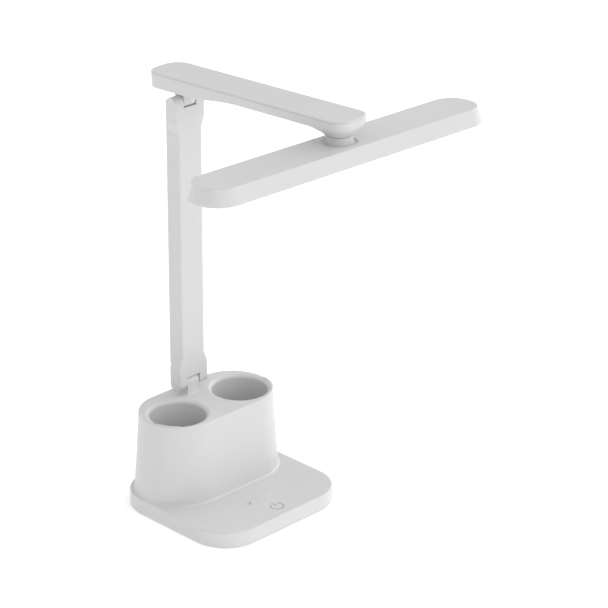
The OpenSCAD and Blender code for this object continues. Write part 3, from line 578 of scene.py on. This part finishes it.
base_grids = split_round(skin, first_row, last_row, left, right)
base_grids += [(cup_side(sign), True) for sign in (1, -1)]
mould("base_body", base_grids, white_abs, "base", ["base_shell"], wall_mm=1.1)

# %% [markdown]
# The lower hinge's tongue stands on the holder's top between the cups. It is a stack of
# rounded rectangles: a small flare at the root, straight sides, and a top that narrows as
# a half circle about the hinge pin. The phone stop, a low soft ridge across the plate in
# front of the holder, is a stack of the same kind: it keeps a leaning phone from sliding.

# %% Hinge tongue on the base, and the phone stop
def stack(levels, steps=4):
    """Closed piece from levels of (half_x, half_y, corner radius, height), shut at both ends."""
    layers = []
    for half_x, half_y, radius, height in levels:
        centre, normal = outline(half_x, half_y, radius, steps)
        layers.append(at_height(centre + radius * normal, height))
    grid = np.stack(layers)
    return np.concatenate([spine(grid[0], *levels[0][:2]), grid, spine(grid[-1], *levels[-1][:2])])


HINGE_Y, LOWER_Z, UPPER_Z = 49.0, 93.1, 335.0
TONGUE_HALF, TONGUE_R, SOFT, FLARE = 6.3, 5.2, 0.6, 1.2


def flare_steps(radius, angles):
    """Pairs (r sin a, r (1 - cos a)): how a fillet draws in and how far it has risen by then."""
    return [(radius * np.sin(a), radius * (1 - np.cos(a))) for a in np.radians(angles)]


def tongue_levels(root, sign):
    """Levels of a tongue from its root over a flare to the rounded end about the pin.

    root is the root's height above the pin, and sign is 1 for a tongue that points up.
    """
    levels = [(TONGUE_HALF + FLARE - x, TONGUE_R + FLARE - x, SOFT + FLARE - x, root + sign * z)
              for x, z in flare_steps(FLARE, np.linspace(0, 90, 6))]
    levels += [(TONGUE_HALF, TONGUE_R, SOFT, 0.0)]
    for a in np.linspace(10, 88, 12):
        half_y = TONGUE_R * np.cos(np.radians(a))
        half_x = TONGUE_HALF - (0.25 if a > 80 else 0)
        levels.append((half_x, half_y, min(SOFT, 0.98 * half_y), sign * TONGUE_R * np.sin(np.radians(a))))
    return levels


tongue = stack(tongue_levels(HOLDER_TOP - LOWER_Z, 1)) + (0, HINGE_Y, LOWER_Z)
mould("base_tongue", [(tongue, True)], white_abs, "base")

STOP_HALF, STOP_W, STOP_H, STOP_Y, STOP_FOOT, STOP_EDGE = 13.0, 1.5, 1.9, -35.0, 0.3, 0.6


def stop_level(outset, height):
    """One level of the phone stop: its long round outline, moved outwards by the outset."""
    return (STOP_HALF + outset, STOP_W + outset, STOP_W + outset, PLATE_TOP + height)


stop_levels = [stop_level(STOP_FOOT, -STOP_FOOT), stop_level(STOP_FOOT, 0.0)]
stop_levels += [stop_level(STOP_FOOT - x, z) for x, z in flare_steps(STOP_FOOT, (30, 60, 90))]
stop_levels += [stop_level(x - STOP_EDGE, STOP_H - STOP_EDGE + z)
                for x, z in arc(STOP_EDGE, 0, 90, 6)]
phone_stop = stack(stop_levels, steps=8) + (0, STOP_Y, 0)
mould("phone_stop", [(phone_stop, True)], white_abs, "base")

# %% [markdown]
# In front of the phone stop, a standby sign is pad-printed in grey over the touch board:
# an open ring with a short bar. Pad printing lays down ink a few hundredths of a
# millimetre thick, so each stroke is a very thin strip with round ends.

# %% Standby sign
MARK_X, MARK_Y, MARK_R, MARK_HALF, MARK_OPEN, BAR_RAISE, INK = 0.8, -52.6, 5.3, 0.5, 38, 0.9, 0.03


def stroke(line):
    """Thin closed strip along a flat line, MARK_HALF to each side, with half round ends."""
    way = np.gradient(line, axis=0)
    way = way / np.linalg.norm(way, axis=1)[:, None]
    side = np.stack([-way[:, 1], way[:, 0]], -1) * MARK_HALF
    a = np.radians(np.linspace(90, -90, 7)[1:-1, None])
    round_end = line[-1] + np.cos(a) * way[-1] * MARK_HALF + np.sin(a) * side[-1]
    round_start = line[0] - np.cos(a) * way[0] * MARK_HALF - np.sin(a) * side[0]
    rim = np.concatenate([line + side, round_end, (line - side)[::-1], round_start])
    middle = np.concatenate([line, np.repeat(line[-1:], len(a), 0),
                             line[::-1], np.repeat(line[:1], len(a), 0)])
    levels = [(middle, -INK), (rim, -INK), (rim, INK), (middle, INK)]
    return np.stack([at_height(flat, PLATE_TOP + z) for flat, z in levels])


ring_at = np.radians(np.linspace(90 + MARK_OPEN, 450 - MARK_OPEN, 49))
mark_ring = np.stack([MARK_X + MARK_R * np.cos(ring_at), MARK_Y + MARK_R * np.sin(ring_at)], -1)
bar_y = MARK_Y + BAR_RAISE + np.linspace(0, MARK_R, 7)
mark_bar = np.stack([np.full(7, MARK_X), bar_y], -1)
mark_grids = [(stroke(line), True) for line in (mark_ring, mark_bar)]
mould("standby_mark", mark_grids, grey_ink, "base")

# %% [markdown]
# The arm is a flat hollow bar with a separate lid. Its own frame has the hinge axis at
# the origin and its front along -y, and it is pitched up a little as it stands. Seen from
# the side its underside rises in a slow S behind the hinge, and at the front it swells
# down into a funnel round the swivel. So the underside is a height over the plan: the
# S-curve, or the funnel's parabola where that is lower.

# %% Arm: sizes and its own frame
PITCH = np.radians(2.55)
ARM_TAIL, ARM_NOSE, ARM_HALF, ARM_R = 26.9, 186.8, 17.8, 13.3
ARM_TOP, THICK_AT, THIN_AT, LID_UNDER, LID_SEAM = 23.5, 10.8, 15.3, 22.4, 0.15
SWEEP_AT, SWEEP_L = 47.5, 65.0
SWIVEL_AT, FUNNEL_H, FUNNEL_R, FUNNEL_WIDE = 168.4, 7.2, 10.8, 23.0
BAR_TURN = np.radians(-2.4)
SIDE_EDGE, NOSE_EDGE, NOSE_FROM, NOSE_TO = 1.0, 5.0, 158.0, 184.0
EDGE_TURNS = np.radians(np.linspace(0, 90, 9))
SWIVEL_POINT = np.array([0, -SWIVEL_AT])


def in_arm(p):
    """From the arm's frame to the lamp's: y' = y cos + z sin and z' = z cos - y sin of the pitch."""
    c, s = np.cos(PITCH), np.sin(PITCH)
    x, y, z = p[..., 0], p[..., 1], p[..., 2]
    return np.stack([x, HINGE_Y + y * c + z * s, UPPER_Z - y * s + z * c], -1)


def in_bar(p):
    """From the light bar's frame to the lamp's: turned about the swivel axis, then carried by the arm."""
    c, s = np.cos(BAR_TURN), np.sin(BAR_TURN)
    x, y, z = p[..., 0], p[..., 1], p[..., 2]
    return in_arm(np.stack([x * c - y * s, x * s + y * c - SWIVEL_AT, z], -1))


def underside(x, y):
    """Height of the arm's underside at (x, y).

    Two arcs of one circle join thick and slim. Where it is lower, the funnel takes over:
    slim - h ((wide - rho) / (wide - r))^2, with rho the distance from the swivel's axis.
    """
    rise, half = (THIN_AT - THICK_AT) / 2, SWEEP_L / 2
    r = (half ** 2 + rise ** 2) / (2 * rise)
    s = np.clip(-y - SWEEP_AT, -half, half)
    hollow = THICK_AT + r - np.sqrt(r ** 2 - (s + half) ** 2)
    crown = THIN_AT - r + np.sqrt(r ** 2 - (half - s) ** 2)
    bend = np.where(s < 0, hollow, crown)
    rho = np.hypot(x, y + SWIVEL_AT)
    inward = np.clip(FUNNEL_WIDE - rho, 0, None) / (FUNNEL_WIDE - FUNNEL_R)
    return np.where(rho < FUNNEL_WIDE, np.minimum(bend, THIN_AT - FUNNEL_H * inward ** 2), bend)


def edge_round(y):
    """Radius of the lower edge: small along the sides, growing round the nose by 3 t^2 - 2 t^3."""
    t = np.clip((-y - NOSE_FROM) / (NOSE_TO - NOSE_FROM), 0, 1)
    return SIDE_EDGE + (NOSE_EDGE - SIDE_EDGE) * t * t * (3 - 2 * t)


samples = underside(np.zeros(3), np.array([0.0, SWIVEL_AT / -2, FUNNEL_R - SWIVEL_AT]))
print("underside at hinge, slim part and funnel's mouth, mm:", samples.round(1).tolist())

# %% [markdown]
# The arm's skin is cut in two across its slim part. Behind the cut its underside is a
# lattice from side to side, which follows the S-curve. Before it, rays spread from the
# swivel's axis to the border, which follow the funnel. Both meet the wall at the lower
# edge, whose rounding grows round the nose. Left and right are mirror images.

# %% Arm: columns round the outline
ARM_MID = np.array([0.0, (ARM_TAIL - ARM_NOSE) / 2])
ARM_HALF_L = (ARM_TAIL + ARM_NOSE) / 2
CUT_Y = -136.0
TAIL_COLUMNS, NOSE_COLUMNS, RAY_ROWS, CROWDING, STEM_BORE_R = 55, 21, 26, 1.4, 5.65
arm_arc = np.radians(np.linspace(0, 90, 17))
core_x, core_y = ARM_HALF - ARM_R, ARM_HALF_L - ARM_R
across = np.linspace(1, -1, 13)
MIRROR = np.array([-1.0, 1.0, 1.0])


def right_side(sign, columns):
    """Centres and normals from the cut along the right side and round one corner.

    sign is 1 for the way back round the tail and -1 for the way forward round the nose.
    """
    end_y = ARM_MID[1] + sign * core_y
    ys = np.linspace(CUT_Y, end_y, columns + 1)[:-1]
    centre = np.concatenate([np.stack([np.full(columns, core_x), ys], -1),
                             np.repeat([[core_x, end_y]], len(arm_arc), 0)])
    normal = np.concatenate([np.tile([1.0, 0.0], (columns, 1)),
                             np.stack([np.cos(arm_arc), sign * np.sin(arm_arc)], -1)])
    return centre, normal


def wall_rows(centre, normal):
    """Rows from the rim down the wall and round the lower edge.

    The inset is r (1 - cos a) and the height is the underside's plus r (1 - sin a).
    """
    r = edge_round((centre + ARM_R * normal)[:, 1])
    inset = [np.zeros(len(r))] * 3 + [r * (1 - np.cos(a)) for a in EDGE_TURNS]
    points = [centre + (ARM_R - d)[:, None] * normal for d in inset]
    low = [underside(p[:, 0], p[:, 1]) for p in points]
    rim = LID_UNDER - LID_SEAM
    height = [np.full(len(r), rim), np.full(len(r), rim - 0.4), low[2] + r + 0.3]
    height += [h + r * (1 - np.sin(a)) for h, a in zip(low[3:], EDGE_TURNS)]
    return np.stack([np.concatenate([p, h[:, None]], 1) for p, h in zip(points, height)])


def to_mirror(column):
    """Points from a right-hand column of points straight across to its mirror image."""
    t = ((1 - across) / 2)[None, :, None]
    return column[:, None] * (1 - t) + (column * MIRROR)[:, None] * t


tail_wall = wall_rows(*right_side(1, TAIL_COLUMNS))
nose_wall = wall_rows(*right_side(-1, NOSE_COLUMNS))
tail_end, nose_end = to_mirror(tail_wall[:, -1]), to_mirror(nose_wall[:, -1])
# the funnel reaches under the nose, so the lower rows there follow the underside again
for p, a in zip(nose_end[3:], EDGE_TURNS):
    p[:, 2] = underside(p[:, 0], p[:, 1]) + edge_round(-ARM_NOSE) * (1 - np.sin(a))
nose_end[2, :, 2] = nose_end[3, :, 2] + 0.3

lattice = to_mirror(tail_wall[-1])
lattice[..., 2] = underside(lattice[..., 0], lattice[..., 1])

border = np.concatenate([nose_wall[-1], nose_end[-1, 1:-1], (nose_wall[-1] * MIRROR)[::-1],
                         lattice[0, ::-1][1:-1]])
outward = border[:, :2] - SWIVEL_POINT
length = np.linalg.norm(outward, axis=1)[:, None]
outward = outward / length
front = [border]
for t in np.linspace(1, 0, RAY_ROWS)[1:] ** CROWDING:
    p = SWIVEL_POINT + outward * (FUNNEL_R + (length - FUNNEL_R) * t)
    front.append(np.concatenate([p, underside(p[:, 0], p[:, 1])[:, None]], 1))
mouth = THIN_AT - FUNNEL_H
front += [at_height(SWIVEL_POINT + outward * r, z)
          for r, z in ((FUNNEL_R - 0.15, mouth - 0.03), (8.0, mouth), (STEM_BORE_R, mouth))]

walls = [(half * side, False) for half in (tail_wall, nose_wall) for side in (1, MIRROR)]
arm_grids = walls + [(tail_end, False), (nose_end, False), (lattice, False), (np.stack(front), True)]
mould("arm_body", [(in_arm(g), closed) for g, closed in arm_grids], white_abs, "arm",
      ["arm_shell"], wall_mm=1.0)

TONGUE_SHIFT, TONGUE_LAP = 0.2, 0.05
arm_tongue = stack(tongue_levels(THICK_AT + TONGUE_LAP, -1)) + (TONGUE_SHIFT, 0, 0)
mould("arm_tongue", [(in_arm(arm_tongue), True)], white_abs, "arm")

# %% [markdown]
# The lid closes the arm from above. It meets the shell in a hairline and its upper edge
# is rounded by about a millimetre, which is the thin darker line along the arm's side.

# %% Arm lid
LID_EDGE = 1.0
lid_rows = [(-1.0, LID_UNDER), (-0.1, LID_UNDER), (0, LID_UNDER + 0.08)]
lid_rows += [(x - LID_EDGE, ARM_TOP - LID_EDGE + z) for x, z in arc(LID_EDGE, 0, 90, 9)]
lid_rows += [(-LID_EDGE - 0.5, ARM_TOP)]
lid = sweep_rows((*outline(ARM_HALF, ARM_HALF_L, ARM_R, steps=16), ARM_R), lid_rows)
lid = np.concatenate([spine(lid[0], ARM_HALF, ARM_HALF_L), lid, spine(lid[-1], ARM_HALF, ARM_HALF_L)])
mould("arm_lid", [(in_arm(lid + (0, ARM_MID[1], 0)), True)], white_abs, "arm",
      ["arm_top_cover"])

# %% [markdown]
# The light bar hangs under the arm on a round neck. Its walls spread a little downwards,
# as they must to leave the mould, and a shallow ring groove surrounds the neck, which
# lets the bar turn without scraping. The underside is open for the diffuser. Its columns
# are those of the outline and those where rays from the swivel's axis meet it, so that the
# round groove and the long sides share them.

# %% Light bar housing
BAR_HALF, BAR_R, BAR_TOP, BAR_UNDER = (137.65, 19.7), 17.9, 2.2, -11.0
BAR_DRAFT, BAR_EDGE, BAR_FOOT_EDGE = 3.1, 0.9, 1.0
NECK_R, RING_R, RING_FLOOR, NECK_TOP, WIRE_R, LIP = 10.4, 13.6, 1.0, 7.7, 3.2, 0.3
RAY_EVERY_DEG, LEAST_GAP = 4.0, 0.05
wall_low, wall_high = BAR_UNDER + BAR_FOOT_EDGE, BAR_TOP - BAR_EDGE
foot_in = BAR_DRAFT - BAR_FOOT_EDGE
bar_rows = [(0.55, -9.0), (1.1, BAR_UNDER + 0.2), (1.3, BAR_UNDER), (foot_in, BAR_UNDER)]
bar_rows += [(foot_in + x, wall_low + z) for x, z in arc(BAR_FOOT_EDGE, -78, 0, 6)]
bar_rows += [(BAR_DRAFT * (1 - t), wall_low + (wall_high - wall_low) * t) for t in (0.03, 0.5, 0.97)]
bar_rows += [(x - BAR_EDGE, wall_high + z) for x, z in arc(BAR_EDGE, 0, 90, 8)]
bar_rows += [(-BAR_EDGE - 0.4, BAR_TOP)]

bar_line = outline(*BAR_HALF, BAR_R, steps=20, along=5)
ring_turn = np.radians(np.arange(0, 360, RAY_EVERY_DEG))
ring_ray = np.stack([np.cos(ring_turn), np.sin(ring_turn)], -1)


def bar_column(points):
    """Nearest arc centre and the normal of each point on the bar's outline."""
    core = np.array(BAR_HALF) - BAR_R
    centre = np.clip(points, -core, core)
    normal = points - centre
    return centre, normal / np.linalg.norm(normal, axis=1)[:, None]


hits = reach(ring_ray, np.zeros(2), np.zeros(2), BAR_HALF, BAR_R)[:, None] * ring_ray
border = np.concatenate([bar_line[0] + BAR_R * bar_line[1], hits])
border = border[np.argsort(np.arctan2(border[:, 1], border[:, 0]))]
border = border[np.linalg.norm(border - np.roll(border, 1, 0), axis=1) > LEAST_GAP]
bar_skin = sweep_rows((*bar_column(border), BAR_R), bar_rows)
aim = bar_skin[-1, :, :2] / np.linalg.norm(bar_skin[-1, :, :2], axis=1)[:, None]
groove = [(RING_R + LIP + 0.3, BAR_TOP), (RING_R + LIP, BAR_TOP)]
groove += [(RING_R + LIP - x, BAR_TOP - LIP + z) for x, z in arc(LIP, 90, 0, 4)[1:]]
groove += [(RING_R, RING_FLOOR + 0.3), (RING_R - 0.3, RING_FLOOR), (NECK_R - 1.0, RING_FLOOR),
           (WIRE_R, RING_FLOOR)]
bar_skin = np.concatenate([bar_skin, [at_height(aim * r, z) for r, z in groove]])
mould("bar_body", [(in_bar(bar_skin), True)], white_abs, "light_bar", ["bar_shell"],
      wall_mm=0.9)

# %% [markdown]
# The diffuser drops into the housing's open underside, set back by less than half a
# millimetre, with a softened border where the sheet was trimmed.

# %% Diffuser
OPAL_LOW, OPAL_HIGH, OPAL_OUT, OPAL_EDGE = -10.6, -8.8, 0.72, 0.5
opal_rows = [(OPAL_OUT - 1.2, OPAL_LOW)]
opal_rows += [(OPAL_OUT - OPAL_EDGE + x, OPAL_LOW + OPAL_EDGE + z) for x, z in arc(OPAL_EDGE, -90, 0, 5)]
opal_rows += [(OPAL_OUT - 0.25, OPAL_HIGH), (OPAL_OUT - 1.0, OPAL_HIGH)]
panel = sweep_rows((*outline(*BAR_HALF, BAR_R, steps=16), BAR_R), opal_rows)
panel = np.concatenate([spine(panel[0], *BAR_HALF), panel, spine(panel[-1], *BAR_HALF)])
mould("opal_panel", [(in_bar(panel), True)], opal, "light_bar", ["diffuser"])

# %% [markdown]
# The neck is round, so one profile turned about the swivel's axis makes it: a drum that
# stands in the ring groove, and a hollow stem that goes up into the funnel and carries the
# wires.

# %% Neck
STEM_R, STEM_TOP, DRUM_EDGE = 5.6, 14.9, 0.5
shoulder = NECK_TOP - DRUM_EDGE
drum = [(WIRE_R, RING_FLOOR), (NECK_R, RING_FLOOR), (NECK_R, RING_FLOOR + 0.3), (NECK_R, shoulder - 0.3)]
drum += [(NECK_R - DRUM_EDGE + x, shoulder + z) for x, z in arc(DRUM_EDGE, 0, 90, 5)]
drum += [(STEM_R, NECK_TOP), (STEM_R, STEM_TOP - 0.3), (STEM_R - 0.3, STEM_TOP)]
drum += [(WIRE_R, STEM_TOP), (WIRE_R, RING_FLOOR)]
mould("neck_drum", [(in_bar(lathe(drum)), True)], white_abs, "light_bar",
      ["swivel_neck"])

# %% [markdown]
# Behind the post a shallow cover hides the channel with the lead. Its rear edges are soft
# like the post's, and at each end it runs in towards the post over a few millimetres.

# %% Rear cover of the post
COVER_LOW, COVER_HIGH, COVER_FRONT, COVER_BACK = 110.6, 317.5, 54.56, 59.2
COVER_HALF, COVER_R, RAMP, RAMP_DEPTH = 12.4, 1.6, 5.0, 1.0


def cover_ring(depth, height):
    """One level: square corners at the post, and at the back corners as round as depth allows."""
    r = min(COVER_R, depth * 0.6)
    back = COVER_FRONT + depth
    right = np.array((COVER_HALF - r, back - r)) + arc(r, 0, 90, 8)
    left = np.array((r - COVER_HALF, back - r)) + arc(r, 90, 180, 8)
    flat = [[(COVER_HALF, COVER_FRONT)], right, left, [(-COVER_HALF, COVER_FRONT)]]
    return at_height(np.concatenate(flat), height)


part = np.linspace(0, 1, 9)
depth = RAMP_DEPTH + (COVER_BACK - COVER_FRONT - RAMP_DEPTH) * (1 - (1 - part) ** 2)
cover = [cover_ring(d, COVER_LOW - RAMP * (1 - t)) for d, t in zip(depth, part)]
cover += [cover_ring(d, COVER_HIGH + RAMP * (1 - t)) for d, t in zip(depth[::-1], part[::-1])]
closing = [level * (1, 0, 1) + (0, COVER_FRONT + 0.3, 0) for level in (cover[0], cover[-1])]
post_back = np.stack([closing[0], *cover, closing[1]])
mould("post_back", [(post_back, True)], white_abs, "post", ["post_rear_cover"])

# %% [markdown]
# At the upper hinge the fork's web is hollowed round the end of the tongue, which keeps
# the gap in front of the pin thin. Behind the pin the web stays low, since the tongue
# comes to lie there when the arm is lifted.

# %% Seat in the upper fork
SEAT_R, SEAT_HALF, SEAT_FRONT, SEAT_END = 5.5, 6.75, 43.52, 54.4
SEAT_LOW, SEAT_TOP, SEAT_COLUMNS = 329.2, 331.2, 25


def seat():
    """Rows across the slot of one closed section.

    In front of the pin the top follows the arc z = pin - sqrt(r^2 - y^2), cut off at SEAT_TOP,
    and behind the pin it stays at the arc's lowest level.
    """
    y = np.linspace(SEAT_FRONT, SEAT_END, SEAT_COLUMNS) - HINGE_Y
    arc_z = UPPER_Z - np.sqrt(np.clip(SEAT_R ** 2 - np.minimum(y, 0) ** 2, 0, None))
    top = np.stack([y + HINGE_Y, np.minimum(arc_z, SEAT_TOP)], -1)
    section = np.concatenate([top, [(SEAT_END, SEAT_LOW), (SEAT_FRONT, SEAT_LOW)]])
    pole = np.repeat([(HINGE_Y, SEAT_LOW + 0.05)], len(section), 0)
    places = zip((pole, section, section, pole), (-SEAT_HALF, -SEAT_HALF, SEAT_HALF, SEAT_HALF))
    return np.stack([np.insert(row, 0, x, axis=1) for row, x in places])


mould("fork_seat", [(seat(), True)], white_abs, "post")

# %% [markdown]
# Small trim: the feet are discs of rubber with a softened edge, and the caps over the
# hinge pins are very slightly domed, which catches a small light.

# %% Feet and pin caps
FOOT_AT = (53, 47.2)
foot = [(0, 0), (5.8, 0), (6.4, 0.08), (6.8, 0.3), (7.0, 0.7), (7.0, 1.8), (0, 1.8)]
foot_places = [(0, 0)] + [(x * FOOT_AT[0], y * FOOT_AT[1]) for x in (1, -1) for y in (1, -1)]
feet = [(lathe(foot, 48) + (*place, 0), True) for place in foot_places]
mould("feet", feet, rubber, "base", ["rubber_feet"])


def cap(z):
    """Cap over a pin's head: a profile turned about the pin's axis, domed by a fifth of a mm."""
    profile = [(0, 14.2), (3.6, 14.2), (3.6, 15.4), (3.45, 15.6), (2.6, 15.7), (1.4, 15.77), (0, 15.79)]
    turned = lathe(profile, 48)
    return np.stack([turned[..., 2], turned[..., 0] + HINGE_Y, turned[..., 1] + z], -1)


mould("lower_cap", [(cap(LOWER_Z), True)], white_abs, "post", ["lower_pin_cap"])
mould("upper_cap", [(cap(UPPER_Z), True)], white_abs, "post", ["upper_pin_cap"])

# %% [markdown]
# The studio is a white floor, lit from within like a light table so that it stays white
# and shows next to no shadow, under large soft boxes. A white object shows its form only
# through soft gradients and the thin darker lines on its rounded edges, so where the
# boxes stand matters. The strongest is low on the right, two more stand low behind and in
# front, and two are high over the front. Those on the left are weak, and none stands
# straight to the left, which is what darkens the left edges. Each box is drawn as a soft
# patch of the world: its strength times the sixth power of the cosine of the angle to it.

# %% Studio
# (degrees round from +x, degrees above the desk, strength) of each box
FLOOR_GLOW = 0.235
FLOOR_HALF_M = 8.0
BOX_POWER = 6.0
SOFT_BOXES = [(0, 15, 2.87), (90, 15, 1.43), (135, 15, 0.68), (-135, 15, 0.55), (-90, 15, 1.19),
              (135, 50, 0.52), (-135, 50, 1.07), (-45, 50, 1.30)]
floor_mesh = bpy.data.meshes.new("floor")
floor_corners = [(x * FLOOR_HALF_M, y * FLOOR_HALF_M, 0) for x, y in ((-1, -1), (1, -1), (1, 1), (-1, 1))]
floor_mesh.from_pydata(floor_corners, [], [(0, 1, 2, 3)])
floor = bpy.data.objects.new("floor", floor_mesh)
scene.collection.objects.link(floor)
floor_paint, tree, shader, coords = new_material("studio_floor_white_backlit_acrylic", 0.9,
    Emission_Color=(1, 1, 1, 1), Emission_Strength=FLOOR_GLOW)
two_tone(tree, shader, grain(tree, coords, 900.0, 1.0), "#f8f8f8", "#fbfbfb")
floor_mesh.materials.append(floor_paint)

world = bpy.data.worlds.new("studio")
scene.world = world
world.use_nodes = True
tree = world.node_tree
direction = add_node(tree, "ShaderNodeTexCoord")


def maths(operation, *values):
    """One Math node of the world's tree with its values or links in order."""
    sockets = {f"i{at}": value for at, value in enumerate(values)}
    return add_node(tree, "ShaderNodeMath", {"operation": operation}, **sockets)


light = 0.0
for azimuth, elevation, strength in SOFT_BOXES:
    a, e = np.radians(azimuth), np.radians(elevation)
    toward = (float(np.cos(e) * np.cos(a)), float(np.cos(e) * np.sin(a)), float(np.sin(e)))
    facing = add_node(tree, "ShaderNodeVectorMath", {"operation": "DOT_PRODUCT"},
                      i0=(direction, "Generated"), i1=toward)
    lit = maths("MAXIMUM", (facing, "Value"), 0.0)
    patch = maths("POWER", (lit, "Value"), BOX_POWER)
    light = (maths("MULTIPLY_ADD", (patch, "Value"), strength, light), "Value")
background = tree.nodes["Background"]
tree.links.new(light[0].outputs["Value"], background.inputs["Strength"])
background.inputs["Color"].default_value = (1, 1, 1, 1)
scene.view_settings.view_transform = "Standard"
print("soft boxes:", len(SOFT_BOXES))
